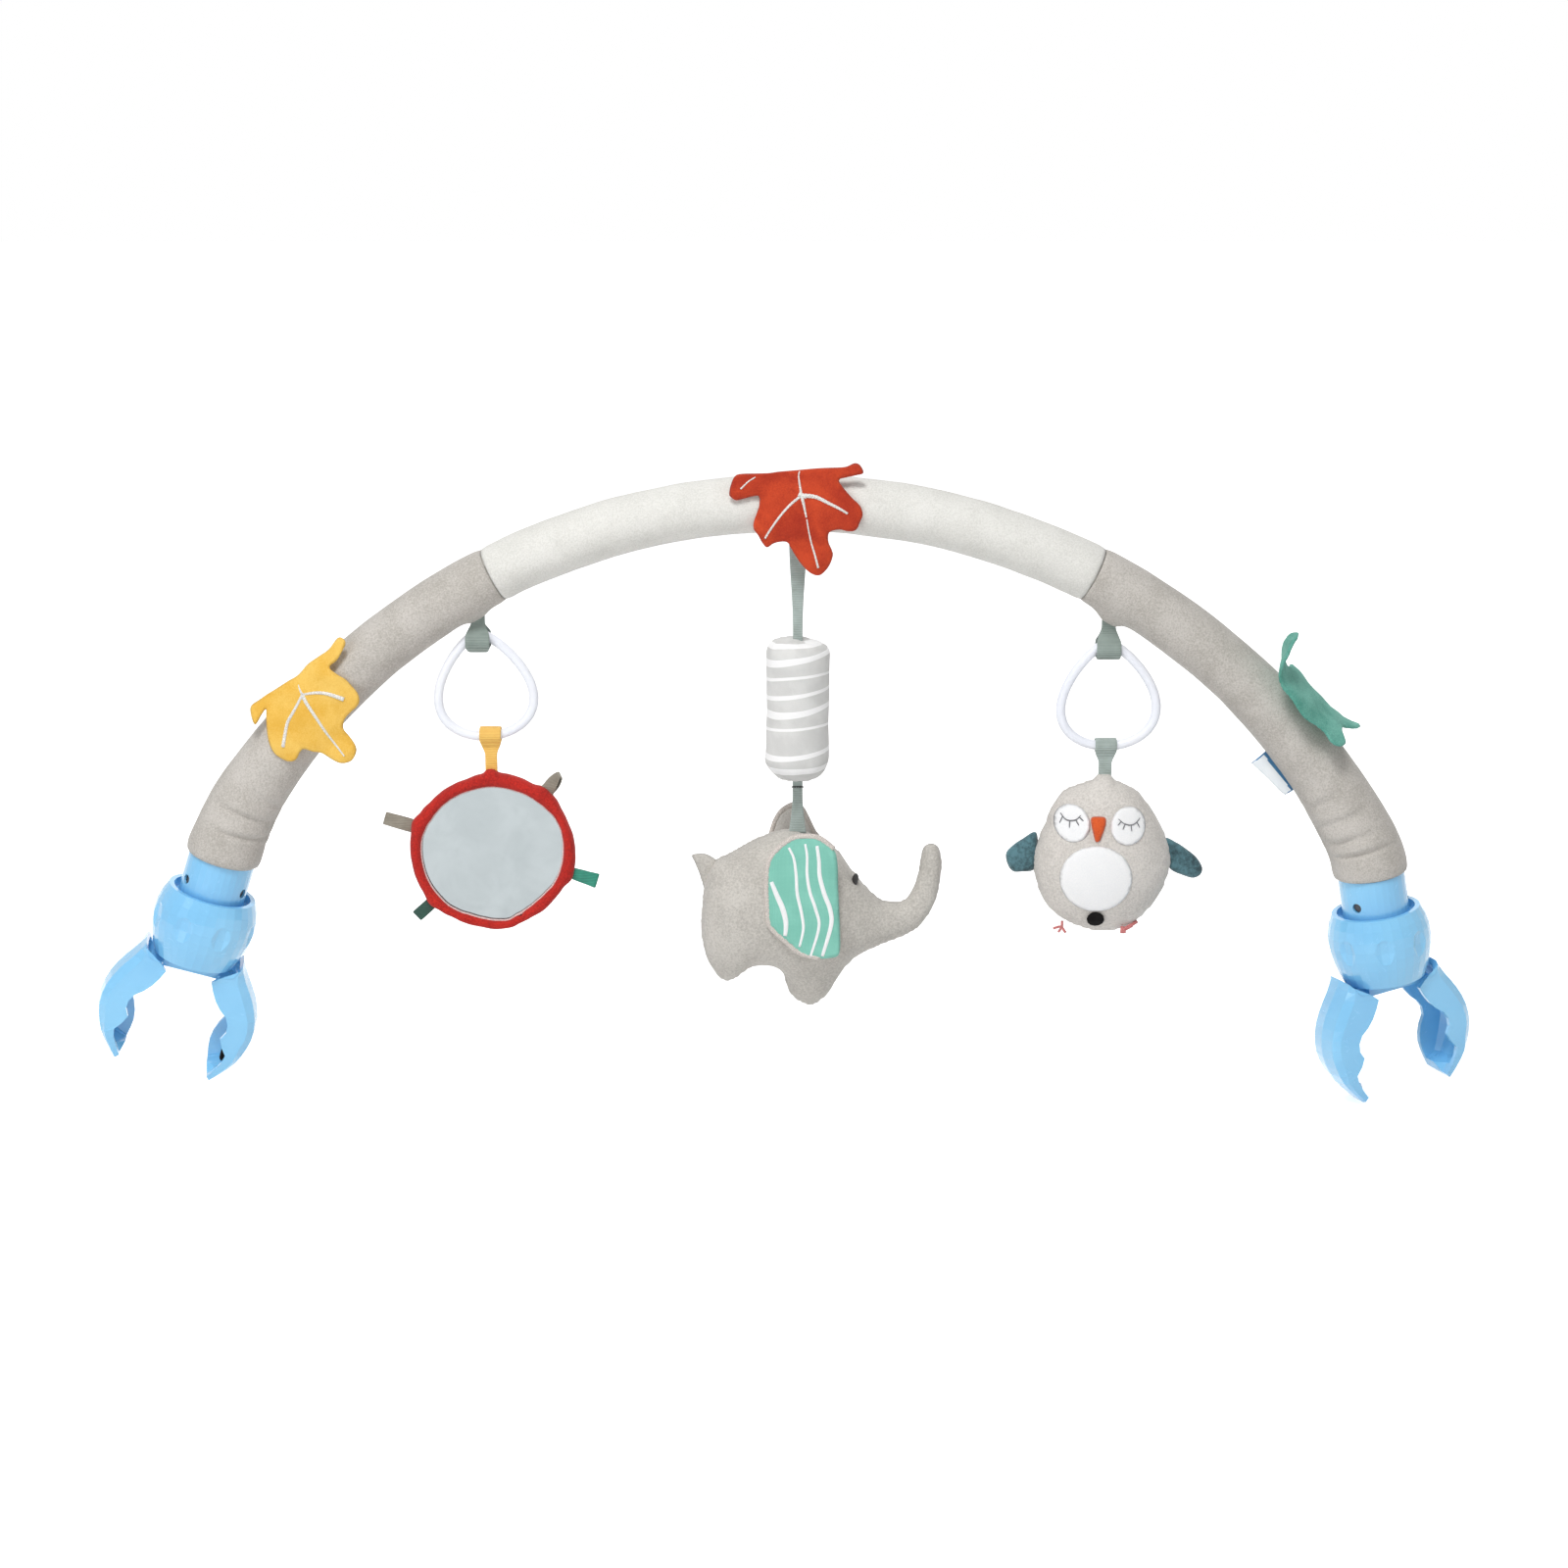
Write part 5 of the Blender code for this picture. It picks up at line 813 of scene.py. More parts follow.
def leaf(colour, side, angle, around, rise, size, shares, veins):
    """A sewn cloth leaf on its sleeve, with stitched veins."""
    name = f"leaf_{colour}"
    middle, outward = arch_point(side, angle)
    stand = sleeve_radius(side, angle) + 1.7 * MM
    if around:
        turn = radians(around)
        facing = FRONT * cos(turn) + outward * sin(turn)
        along = down_leg(side, angle)
        centre = middle + facing * rise
        form = curled(along.cross(facing), -along, facing, stand)
    else:
        centre = middle + outward * rise
        form = bent_in_front(rise, stand, outward)

    def place(across, up, lift):
        spot, normal = form(across, up)
        edge = min(1.0, hypot(across, up) / (0.7 * size))
        ruffle = (0.5 + 0.9 * edge) * MM * crumple((across, up, 0), 11 * MM, size * 1000)
        return centre + spot + normal.normalized() * (lift + ruffle)

    outline = [(across * size, up * size) for across, up in shares]
    height = pad_height(1.0 * MM, 1.5 * MM, 2.0 * MM, 0.3 * MM)
    mesh = sewn(name, outline, 1.0 * MM, height, place)
    obj = piece(f"{name}_cloth", mesh, f"{colour}_leaf", "arch", (name,), 0.2)
    for number, (line, start, end) in enumerate(veins):
        points = [place(spot.x, spot.y, 1.05 * MM) for spot in drawn(line, 0.6 * MM, size, 8)]
        count = len(points) - 1
        radii = [
            (start + (end - start) * index / count) * MM * (1 + 0.12 * sin(index * 2.4))
            for index in range(count + 1)
        ]
        vein = f"{name}_vein_{number}"
        cord(vein, points, radii, "white_thread", "arch", parent=obj, flatten=0.7)


# The leaves' outlines in shares of their size
RED_SHARES = pairs("""
    -876 27, -857 127, -814 222, -746 257, -543 262, -392 268, -273 284, -35 303, 200 324, 403 330,
    538 341, 641 381, 708 357, 751 265, 659 238, 541 214, 454 186, 505 95, 608 -24, 711 -127,
    743 -230, 714 -316, 662 -419, 559 -435, 476 -416, 373 -432, 330 -470, 330 -573, 373 -676,
    384 -746, 341 -868, 257 -970, 186 -992, 103 -954, 16 -868, -68 -746, -138 -624, -170 -573,
    -238 -565, -341 -592, -419 -643, -478 -581, -527 -486, -581 -403, -578 -316, -535 -197,
    -511 -111, -519 -8, -611 -16, -714 -43, -797 -59, -868 -8
""", 1000)  # fmt: skip
YELLOW_SHARES = pairs("""
    -741 -212, -709 -153, -624 -97, -506 -18, -374 59, -200 174, -65 259, 71 403, 226 515, 359 612,
    459 744, 515 774, 579 735, 585 668, 526 553, 465 459, 371 374, 459 288, 571 212, 659 115,
    732 21, 756 -76, 726 -153, 647 -229, 571 -306, 529 -385, 526 -479, 597 -576, 671 -694,
    685 -788, 624 -906, 529 -944, 435 -935, 324 -876, 215 -809, 100 -788, -9 -750, -68 -788,
    -129 -897, -224 -924, -318 -885, -409 -809, -476 -674, -500 -538, -506 -424, -509 -306,
    -515 -212, -574 -288, -656 -424, -718 -326
""", 1000)  # fmt: skip
GREEN_SHARES = pairs("""
    -74 -21, -62 -10, -51 -2, -42 14, -38 26, -26 33, -10 36, 4 42, 12 58, 18 78, 27 98, 44 106,
    62 101, 70 84, 70 66, 66 50, 64 36, 66 20, 70 2, 70 -16, 62 -34, 60 -52, 66 -64, 67 -74,
    61 -82, 50 -85, 38 -80, 26 -74, 12 -76, 0 -90, -12 -100, -28 -102, -44 -88, -50 -62, -51 -42,
    -54 -30, -66 -42, -73 -33
""", 100)  # fmt: skip
# The veins' lines in shares of the leaf's size, each with its radius in mm at both of its ends
RED_VEINS = (
    (((0, 0), (-0.138, -0.111), (-0.273, -0.265), (-0.392, -0.435), (-0.443, -0.522)), 0.6, 0.45),
    (((0, 0), (0.024, -0.095), (0.059, -0.265)), 0.8, 0.35),
    (((0.065, -0.285), (0.084, -0.403), (0.119, -0.573), (0.17, -0.746), (0.205, -0.884)), 0.3,
     0.5),
    (((0, 0), (0.168, -0.016), (0.338, -0.095), (0.457, -0.154), (0.559, -0.216)), 1.05, 0.5),
    (((0, 0), (-0.019, 0.111), (-0.035, 0.23), (-0.022, 0.284)), 0.6, 0.25),
    (((-0.738, 0.076), (-0.646, 0.162), (-0.559, 0.216)), 0.4, 0.25),
    (((-0.035, 0.02), (0.01, 0.0), (0.06, -0.012)), 1.15, 1.0),
)  # fmt: skip
YELLOW_VEINS = (
    (((0, 0), (0.171, 0.029), (0.318, 0.021), (0.45, -0.018), (0.55, -0.059)), 0.5, 1.05),
    (((0, 0), (0.053, -0.115), (0.194, -0.344), (0.335, -0.576), (0.524, -0.838)), 0.9, 0.35),
    (((0, 0), (-0.062, -0.115), (-0.141, -0.25), (-0.224, -0.403), (-0.291, -0.712)), 0.6, 0.85),
    (((0, 0), (-0.035, 0.068), (-0.053, 0.13)), 0.6, 0.2),
)


def build_leaves():
    leaf("red", 1, 0.7, 0.0, 5.5 * MM, 37 * MM, RED_SHARES, RED_VEINS)
    leaf("yellow", -1, 46.0, 0.0, 9.1 * MM, 34 * MM, YELLOW_SHARES, YELLOW_VEINS)
    leaf("green", 1, 47.4, 78.5, 3.4 * MM, 33 * MM, GREEN_SHARES, ())


# Ribbons, rings and tabs


RING_WIDTH = 44.0 * MM
RING_HEIGHT = 47.8 * MM
RING_WIRE = 2.25 * MM


def strip(name, path, half_widths, half_thickness, look, body, replaced, centre_x):
    """A ribbon along (y, z) points, with a width at each."""
    path = [Vector((centre_x, y, z)) for y, z in path]
    rings = []
    for point, way, half in zip(path, tangents(path), half_widths):
        deep = Vector((1, 0, 0)).cross(way).normalized() * half_thickness
        rings.append(ring_round(point, Vector((half, 0, 0)), deep, square=(0.35, 0.6)))
    piece(name, rings_mesh(name, rings), look, body, (replaced,))


def looped_ribbon(name, node, hinge, radius, widths, far_z, look, body):
    """A ribbon folded round a wire at the hinge, both ends running together to a far height."""
    down = 1 if far_z < hinge.z else -1
    meet = hinge.z - down * (radius + 1.6 * MM)
    straight = [meet + (far_z - meet) * index / 10 for index in range(10, -1, -1)]
    path = [(-0.42 * MM, z) for z in straight]
    for index in range(17):
        turn = radians(-52 + 284 * index / 16)
        path.append((hinge.y - radius * cos(turn), hinge.z + down * radius * sin(turn)))
    path += [(0.42 * MM, z) for z in reversed(straight)]
    half_widths = []
    for _, z in path:
        away = abs(z - hinge.z) / abs(far_z - hinge.z)
        half_widths.append(widths[0] + (widths[1] - widths[0]) * eased((away - 0.15) / 0.4))
    strip(name, path, half_widths, 0.38 * MM, look, body, node, hinge.x)


def ring_outline(skew):
    """A drop with its point up; skew moves its widest place to one side."""
    raw = []
    for turn in turns(120):
        bulge = sqrt(sin(turn / 2) ** 2 + 0.25)
        raw.append((sin(turn) * bulge, cos(turn)))
    widest = max(across for across, _ in raw)
    points = []
    for across, up in raw:
        x = across / widest * RING_WIDTH / 2 + skew * (1 - up * up)
        points.append(Vector((x, 0, (up - 1) * RING_HEIGHT / 2)))
    return points


def build_ring(word, lean, skew):
    """A drop of wire that hangs where the frame's ring is."""
    node = f"ring_{word}"
    low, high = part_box(node)
    turn = Matrix.Rotation(radians(-lean), 4, "Y")
    points = [turn @ point for point in ring_outline(0.0)]
    shift_x = (low.x + high.x) / 2 - (min(p.x for p in points) + max(p.x for p in points)) / 2
    shift_z = (low.z + high.z) / 2 - (min(p.z for p in points) + max(p.z for p in points)) / 2
    points = [turn @ point + Vector((shift_x, 0, shift_z)) for point in ring_outline(skew)]
    cord(f"{node}_wire", points, RING_WIRE, "ring", node, (node,), sides=20, close=True)


def build_hangers():
    for _, word in SIDES:
        node = f"hanger_loop_{word}"
        low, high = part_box(node)
        hinge = JOINTS[f"ring_swing_{word}"]
        radius = (hinge.z - low.z) - 0.35 * MM
        widths = (5.6 * MM, 3.2 * MM)
        top = high.z + 0.6 * MM
        looped_ribbon(f"{node}_ribbon", node, hinge, radius, widths, top, "loop", "arch")


# Mirror toy


MIRROR_CENTRE = Vector((-139.3 * MM, 0, 87.9 * MM))
MIRROR_STEPS = 180
TAB_START = -7.6 * MM
# The red pad's inner and outer radius in mm at every ten degrees from the right, going up
PAD_RADII = (
    (32.4, 38.0), (32.8, 37.8), (33.1, 37.3), (32.9, 37.4), (32.0, 38.4), (31.5, 38.9),
    (31.2, 36.9), (30.8, 37.1), (30.8, 37.3), (30.9, 37.4), (30.8, 36.9), (30.8, 36.2),
    (31.2, 36.5), (31.6, 36.9), (32.0, 37.2), (32.3, 38.3), (33.1, 40.2), (33.75, 39.3),
    (33.75, 39.1), (33.75, 38.9), (33.9, 39.0), (34.0, 39.0), (33.9, 40.2), (34.1, 38.6),
    (33.6, 37.8), (32.9, 37.9), (33.0, 37.6), (33.5, 38.1), (33.9, 38.0), (32.4, 36.9),
    (31.6, 36.4), (31.1, 36.7), (31.2, 36.5), (31.9, 36.8), (32.1, 38.8), (32.2, 38.4),
)  # fmt: skip
# The pad's section: radius between its inner (0) and outer (1) edge, and depth to the front
PAD_SECTION = (
    (0.3, -5.7), (0.7, -4.6), (0.93, -2.3), (1.0, 0.2), (0.96, 2.6), (0.78, 4.4), (0.52, 5.2),
    (0.25, 4.7), (0.07, 3.5), (0.0, 2.2), (0.0, 1.35),
)  # fmt: skip
# Each tab: name, angle up from the right, look, near and far half width and length, twist
TABS = (
    ("left", 163.6, "taupe_tab", (3.1, 3.0, 8.2), 14.0),
    ("top", 50.6, "taupe_tab", (3.4, 2.9, 4.0), -66.0),
    ("right", -18.0, "green_tab", (2.4, 3.4, 6.0), -24.0),
    ("bottom", -138.0, "dark_tab", (2.7, 2.8, 4.2), 0.0),
)


def pad_radii(angle):
    """The pad's smoothed inner and outer radius at an angle."""
    before, share = divmod(angle / 10, 1)
    start, end = PAD_RADII[int(before) % 36], PAD_RADII[(int(before) + 1) % 36]
    return [(a + (b - a) * eased(share)) * MM for a, b in zip(start, end)]


def pad_section(angle, groove):
    """The red pad's section at an angle: (radius, depth to the front) from back to groove."""
    inner, outer = pad_radii(angle)
    outer += 1.9 * MM * exp(-(((angle - 91) / 4.4) ** 4))
    outer = max(outer, groove + 0.9 * MM)
    seam = hump(angle - 291, 2.2)
    fold = 0.7 * MM * max(0.0, 1 - abs(angle - 300) / 12) if angle > 291 else 0.0
    inner += 1.2 * MM * seam
    section = [(0.0, -6.0 * MM), (12 * MM, -6.2 * MM), (26 * MM, -6.1 * MM)]
    for share, deep in PAD_SECTION:
        puff = (0.6 * fold - 0.5 * MM * seam) if deep > 0 else 0.0
        section.append((inner + (outer - inner) * share, deep * MM + puff))
    section += [(groove, 1.3 * MM), (groove, -1.3 * MM), (20 * MM, -1.35 * MM), (0.0, -1.35 * MM)]
    return even_line([Vector((*point, 0)) for point in section], 1.1 * MM)


def build_mirror():
    """A padded red frame that grips the plate in a groove, with a pale thread on its rim."""
    plate_low, plate_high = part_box("mirror_plate")
    offset = MIRROR_CENTRE - (plate_low + plate_high) / 2
    groove = (plate_high.x - plate_low.x) / 2 + 0.25 * MM
    vertices, faces = [], []
    count = None
    for index in range(MIRROR_STEPS):
        angle = 360 * index / MIRROR_STEPS
        spoke = spoke_at(angle)
        line = pad_section(angle, groove - offset.dot(spoke))
        count = count or len(line)
        for point in even_line(line, None, count=count):
            radius, deep = point.x, point.y
            soft = 0.0
            if deep > 1.5 * MM or (deep < -1.6 * MM and radius > 28 * MM):
                spot = spoke * 38 * MM + FRONT * deep
                soft = 0.55 * MM * crumple(spot, 9 * MM, 5.0) + 0.25 * MM * crumple(spot, 3.5 * MM)
            vertices.append(MIRROR_CENTRE + spoke * radius + FRONT * (deep + soft))
        near, far = index * count, (index + 1) % MIRROR_STEPS * count
        for row in range(count - 1):
            faces.append((near + row, far + row, far + row + 1, near + row + 1))
    mesh = to_mesh("mirror_pad", vertices, faces, 0.01 * MM)
    piece("mirror_pad", mesh, "red_frame", "mirror", ("mirror_frame",), 0.8)
    rim = [
        MIRROR_CENTRE + spoke_at(angle) * (pad_radii(angle)[0] + 0.1 * MM) + FRONT * 2.0 * MM
        for angle in range(0, 360, 3)
    ]
    cord("mirror_rim_thread", rim, 0.6 * MM, "rim_thread", "mirror", close=True)
    hinge = JOINTS["mirror_swing"]
    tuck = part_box("mirror_ribbon")[0].z - 1.2 * MM
    shape = (3.55 * MM, (4.95 * MM, 2.75 * MM), tuck)
    looped_ribbon(
        "yellow_hanging_ribbon", "mirror_ribbon", hinge, *shape, "yellow_ribbon", "mirror"
    )
    for tab in TABS:
        build_tab(*tab)


def build_tab(name, angle, look, shape, twist):
    """A folded ribbon tab: two layers that part a little, with a round fold at the far end."""
    node = f"mirror_tab_{name}"
    low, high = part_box(node)
    out = spoke_at(angle)
    side = Vector((-out.z, 0, out.x))
    near_half, far_half, end = (value * MM for value in shape)
    length = end - TAB_START
    outline = []
    for index in range(9):
        gap = 0.28 + 0.75 * sin(pi * index / 8 * 0.85)
        outline.append((TAB_START + length * index / 8, -gap * MM))
    outline += [(end + 0.55 * MM, -0.2 * MM), (end + 0.55 * MM, 0.2 * MM)]
    outline += [(x, -gap) for x, gap in reversed(outline[:9])]
    outline = even_line([Vector((x, y, 0)) for x, y in outline], 0.5 * MM)
    rings = []
    for point, way in zip(outline, tangents(outline)):
        share = (point.x - TAB_START) / length
        turned = radians(twist) * max(0.0, share - 0.25) / 0.75
        across = side * cos(turned) + FRONT * sin(turned)
        away = FRONT * cos(turned) - side * sin(turned)
        spot = (low + high) / 2 + out * point.x + away * point.y
        across *= near_half + (far_half - near_half) * share
        deep = (away * way.x - out * way.y) * 0.3 * MM
        rings.append(ring_round(spot, across, deep, square=(0.3, 0.6)))
    piece(f"tab_{name}_ribbon", rings_mesh(node, rings), look, "mirror", (node,))


# Rattle


RATTLE_ROWS = 70
RATTLE_SIDES = 72
BAND_STEPS = 24
STITCH_REACH = 0.42 * MM


def build_rattle():
    """The gathered striped cover, and the ribbons above and below it."""
    low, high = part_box("rattle_cover")
    centre = (low + high) / 2
    radius = (high.x - low.x) / 2
    height = high.z - low.z
    rings = []
    for row in range(RATTLE_ROWS + 1):
        share = row / RATTLE_ROWS
        z = high.z - height * share
        rounding = (7.5 if share < 0.5 else 11.5) * MM
        fall = 1 - min(1, min(share, 1 - share) * height / rounding)
        wide = radius - 0.35 * MM * sin(pi * share)
        wide -= min(rounding, 11 * MM) * (1 - sqrt(1 - fall**2))
        if row in (0, RATTLE_ROWS):
            wide = 3.4 * MM
        ring = []
        for turn in turns(RATTLE_SIDES):
            spoke = Vector((cos(turn), sin(turn), 0))
            gather = 0.55 * MM * fall**1.5 * sin(turn * 11 + 1.7 * sin(turn * 3))
            rough = 0.35 * MM * crumple(spoke * radius + Vector((0, 0, z)), 13 * MM, 2.0)
            seam = 0.4 * MM * hump(degrees(turn) - 96, 5)
            spot = Vector((centre.x, centre.y, z)) + spoke * (wide + gather + rough - seam)
            spot.x -= 0.9 * MM * hump(share - 0.87, 0.08) * max(0, -spoke.x)
            spot.z -= 1.6 * MM * fall * max(0, spoke.x) if share < 0.5 else 0.0
            ring.append(spot)
        rings.append(ring)
    mesh = rings_mesh("rattle_cloth", rings)
    piece("rattle_cloth", mesh, "stripes", "rattle", ("rattle_cover",), 0.85)

    shares = [index / BAND_STEPS for index in range(BAND_STEPS + 1)]
    low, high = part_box("rattle_ribbon")
    path = [
        (0.5 * MM * sin(share * 5), high.z + 0.4 * MM - (high.z - low.z) * share)
        for share in shares
    ]
    halves = [(4.1 - 2.1 * share + 0.2 * sin(share * 7)) * MM for share in shares]
    strip("rattle_band", path, halves, 0.6 * MM, "ribbon", "rattle", "rattle_ribbon", centre.x)

    low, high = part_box("elephant_ribbon")
    path = [
        (0.3 * MM * sin(share * 4), high.z - (high.z - low.z) * share) for share in shares
    ]
    halves = [(2.3 + 3.0 * max(0, share - 0.3) ** 1.5) * MM for share in shares]
    band = ("ribbon", "elephant", "elephant_ribbon", centre.x)
    strip("elephant_band", path, halves, 0.6 * MM, *band)
    z = high.z - 3.2 * MM
    for number in range(5):
        x = centre.x + (number - 2) * 1.15 * MM
        ends = [(x + reach, -0.72 * MM, z) for reach in (-STITCH_REACH, STITCH_REACH)]
        points = [ends[0], (x, -0.95 * MM, z), ends[1]]
        cord(f"band_stitch_{number}", points, 0.34 * MM, "dark_thread", "elephant")


# Elephant


# Outlines in tenths of a millimetre
ELEPHANT_OUTLINE = pairs("""
    -361 833, -320 852, -270 880, -196 923, -141 947, -87 966, -32 976, 32 972, 96 953, 151 923,
    197 895, 233 852, 279 786, 326 728, 372 676, 418 638, 473 624, 519 638, 555 686, 577 752,
    590 819, 599 880, 617 907, 647 916, 676 904, 694 866, 699 800, 692 724, 675 638, 639 561,
    594 504, 539 470, 466 441, 392 413, 328 384, 282 350, 245 302, 208 244, 181 190, 144 154,
    107 127, 79 119, 42 132, 5 152, -24 195, -41 244, -50 287, -73 314, -115 326, -161 325,
    -198 311, -235 278, -272 248, -309 239, -346 253, -378 292, -405 340, -423 408, -435 485,
    -434 552, -429 609, -424 667, -415 725, -398 780
""", 10)  # fmt: skip
TAIL_OUTLINE = pairs("""
    -475 855, -434 866, -393 860, -360 836, -345 790, -360 720, -410 685, -430 730, -448 790,
    -466 826
""", 10)  # fmt: skip
EAR_OUTLINE = pairs("""
    123 1002, 183 952, 204 888, 209 748, 216 591, 215 450, 170 426, 125 424, 75 430, 34 450,
    -41 513, -109 584, -119 670, -123 779, -116 873, -86 935, -11 997, 56 1012
""", 10)  # fmt: skip
EAR_RIM = pairs("""
    186 950, 123 1000, 56 1010, -11 996, -84 933, -114 871, -121 779, -117 670, -107 584, -40 514,
    34 452, 125 428
""", 10)  # fmt: skip
FAR_EAR_OUTLINE = pairs("""
    -106 885, -97 911, -83 954, -60 995, -32 1020, 5 1035, 42 1017, 66 974, 98 906, 117 880,
    170 800, 180 700, 184 550, 180 490, 143 467, 98 463, 44 467, -11 501, -65 557, -119 614,
    -142 689, -148 774, -135 840
""", 10)  # fmt: skip
EAR_STRIPES = (
    ((-1.9, 95.8), (0.4, 90.7), (1.5, 82.3), (2.0, 73.9), (4.0, 64.5), (4.8, 57.0), (3.0, 48.5)),
    ((5.6, 97.6), (6.5, 91.6), (6.5, 83.2), (7.8, 74.8), (10.5, 66.4), (12.0, 57.9), (8.1, 43.7)),
    (
        (11.0, 96.7), (11.9, 89.7), (12.3, 82.3), (14.4, 73.9), (17.1, 66.4), (17.6, 58.8),
        (13.6, 43.9),
    ),
    ((-9.9, 79.5), (-7.3, 72.9), (-4.6, 66.4), (-3.2, 59.8), (-3.6, 53.7)),
)  # fmt: skip
STRIPE_WIDTHS = (0.72, 0.72, 1.0, 1.2)
EAR_PLACE = 24.2 * MM
# Each eye: side, name and its place; the near one is on the front
EYES = ((-1, "near", 28.9 * MM, 75.6 * MM), (1, "far", 26.0 * MM, 71.0 * MM))


def in_metres(outline):
    return [(across * MM, up * MM) for across, up in outline]


def stuffed_piece(name, outline, fullness, spacing, look, body, replaced, fill):
    """A plush form from its sewn outline in millimetres, swelling to both sides."""
    outline = in_metres(outline)
    swell = Stuffing(outline, 1.2 * MM, fullness)

    def height(points, gaps):
        return np.array([swell(point.x, point.y) for point in points])

    def place(across, up, lift):
        spot = Vector((across, -lift, up))
        if lift:
            soft = 0.55 * MM * crumple(spot, 24 * MM, 7.0) + 0.22 * MM * crumple(spot, 9 * MM, 1.3)
            spot.y += copysign(soft * min(1, abs(lift) / (6 * MM)), -lift)
        return spot

    obj = piece(name, sewn(name, outline, spacing, height, place), look, body, replaced, fill)
    relax = obj.modifiers.new("relax", "SMOOTH")
    relax.factor = 0.5
    relax.iterations = 2
    return swell


def flat_ear(name, sign, node, outline, rim):
    """A flat ear of two cloths, with piping along its rim and wavy stripes on the near one."""

    def place(across, up, lift):
        bow = 1.2 * MM * (cos((across - 5 * MM) / (20 * MM)) - 1)
        return Vector((across, sign * (EAR_PLACE + bow) + lift, up))

    height = pad_height(1.2 * MM, 1.6 * MM, 2.2 * MM, 0.35 * MM)
    mesh = sewn(name, in_metres(outline), 1.3 * MM, height, place)
    obj = piece(name, mesh, "mint", node, (node,), 0.1)
    mesh.materials.append(M["taupe_cloth"])
    for polygon in mesh.polygons:
        if polygon.normal.y * sign < -0.2:
            polygon.material_index = 1
    close = rim is outline
    points = [place(spot.x, spot.y, 0) for spot in drawn(rim, 1.2 * MM, close=close)]
    cord(
        f"{name}_piping", points, 1.25 * MM, "piping", node, parent=obj, sides=10, close=close
    )
    for number, stripe in enumerate(EAR_STRIPES if sign < 0 else ()):
        line = drawn(stripe, 1.0 * MM, steps=8)
        points = [place(spot.x, spot.y, sign * 1.18 * MM) for spot in line]
        radii = swelling(STRIPE_WIDTHS[number] * MM, len(points), 0.75, 0.35)
        stripe = f"{name}_stripe_{number}"
        cord(stripe, points, radii, "felt", node, parent=obj, sides=10, flatten=0.22)


def build_elephant():
    """The plush body with its tail, both ears and both eyes."""
    nodes = ("elephant_body", "elephant_head", "elephant_hind_leg", "elephant_front_leg")
    form = ("elephant_plush", ELEPHANT_OUTLINE, 0.88, 1.5 * MM)
    swell = stuffed_piece(*form, "plush", "elephant", nodes, 0.85)
    stuffed_piece("elephant_tail", TAIL_OUTLINE, 0.42, 1.2 * MM, "plush", "elephant", (), 0.3)
    flat_ear("ear_near_cloth", -1, "elephant_ear_near", EAR_OUTLINE, EAR_RIM)
    flat_ear("ear_far_cloth", 1, "elephant_ear_far", FAR_EAR_OUTLINE, FAR_EAR_OUTLINE)
    for sign, word, x, z in EYES:
        place = Matrix.Translation((x, sign * (swell(x, z) + 0.5 * MM), z))
        turn = Matrix.Rotation(radians(12), 4, "Y")
        size = Matrix.Diagonal((1.6 * MM, 2.4 * MM, 3.2 * MM, 1))
        bm = bmesh.new()
        bmesh.ops.create_uvsphere(bm, u_segments=20, v_segments=14, radius=1)
        bmesh.ops.transform(bm, matrix=place @ turn @ size, verts=bm.verts)
        mesh = bpy.data.meshes.new(f"eye_{word}")
        bm.to_mesh(mesh)
        bm.free()
        mesh.shade_smooth()
        piece(f"elephant_eye_{word}", mesh, "dark_thread", "elephant")


# Owl


OWL_OUTLINE = pairs("""
    1410 1248, 1399 1226, 1368 1211, 1334 1198, 1289 1184, 1255 1167, 1227 1137, 1200 1096,
    1180 1043, 1162 984, 1140 937, 1124 890, 1116 837, 1119 790, 1131 740, 1148 684, 1173 630,
    1206 589, 1256 548, 1316 518, 1374 499, 1431 491, 1489 491, 1535 499, 1580 518, 1624 552,
    1673 604, 1713 664, 1743 724, 1762 783, 1768 831, 1762 878, 1745 937, 1721 990, 1697 1037,
    1667 1085, 1637 1126, 1608 1161, 1573 1186, 1533 1204, 1499 1218, 1482 1232, 1472 1248
""", 10)  # fmt: skip
BEAK_OUTLINE = pairs("""
    1369 1070, 1380 1081, 1428 1081, 1439 1066, 1433 1035, 1418 996, 1408 974, 1390 972, 1380 1006,
    1371 1044
""", 10)  # fmt: skip
WING_OUTLINES = {
    "left": pairs("""
        1134 964, 1068 932, 1021 896, 994 860, 1004 807, 1029 775, 1069 774, 1126 784, 1142 840
    """, 10),
    "right": pairs("""
        1732 936, 1786 916, 1834 885, 1882 846, 1912 796, 1905 760, 1872 743, 1825 756, 1762 788,
        1744 850
    """, 10),
}  # fmt: skip
# Each felt patch: its middle and its half width and half height in mm
PATCHES = (
    ("eye_left", (128.5, 104.5), (8.1, 8.3)),
    ("eye_right", (154.2, 103.7), (8.3, 8.5)),
    ("belly", (139.8, 79.0), (16.6, 16.1)),
)
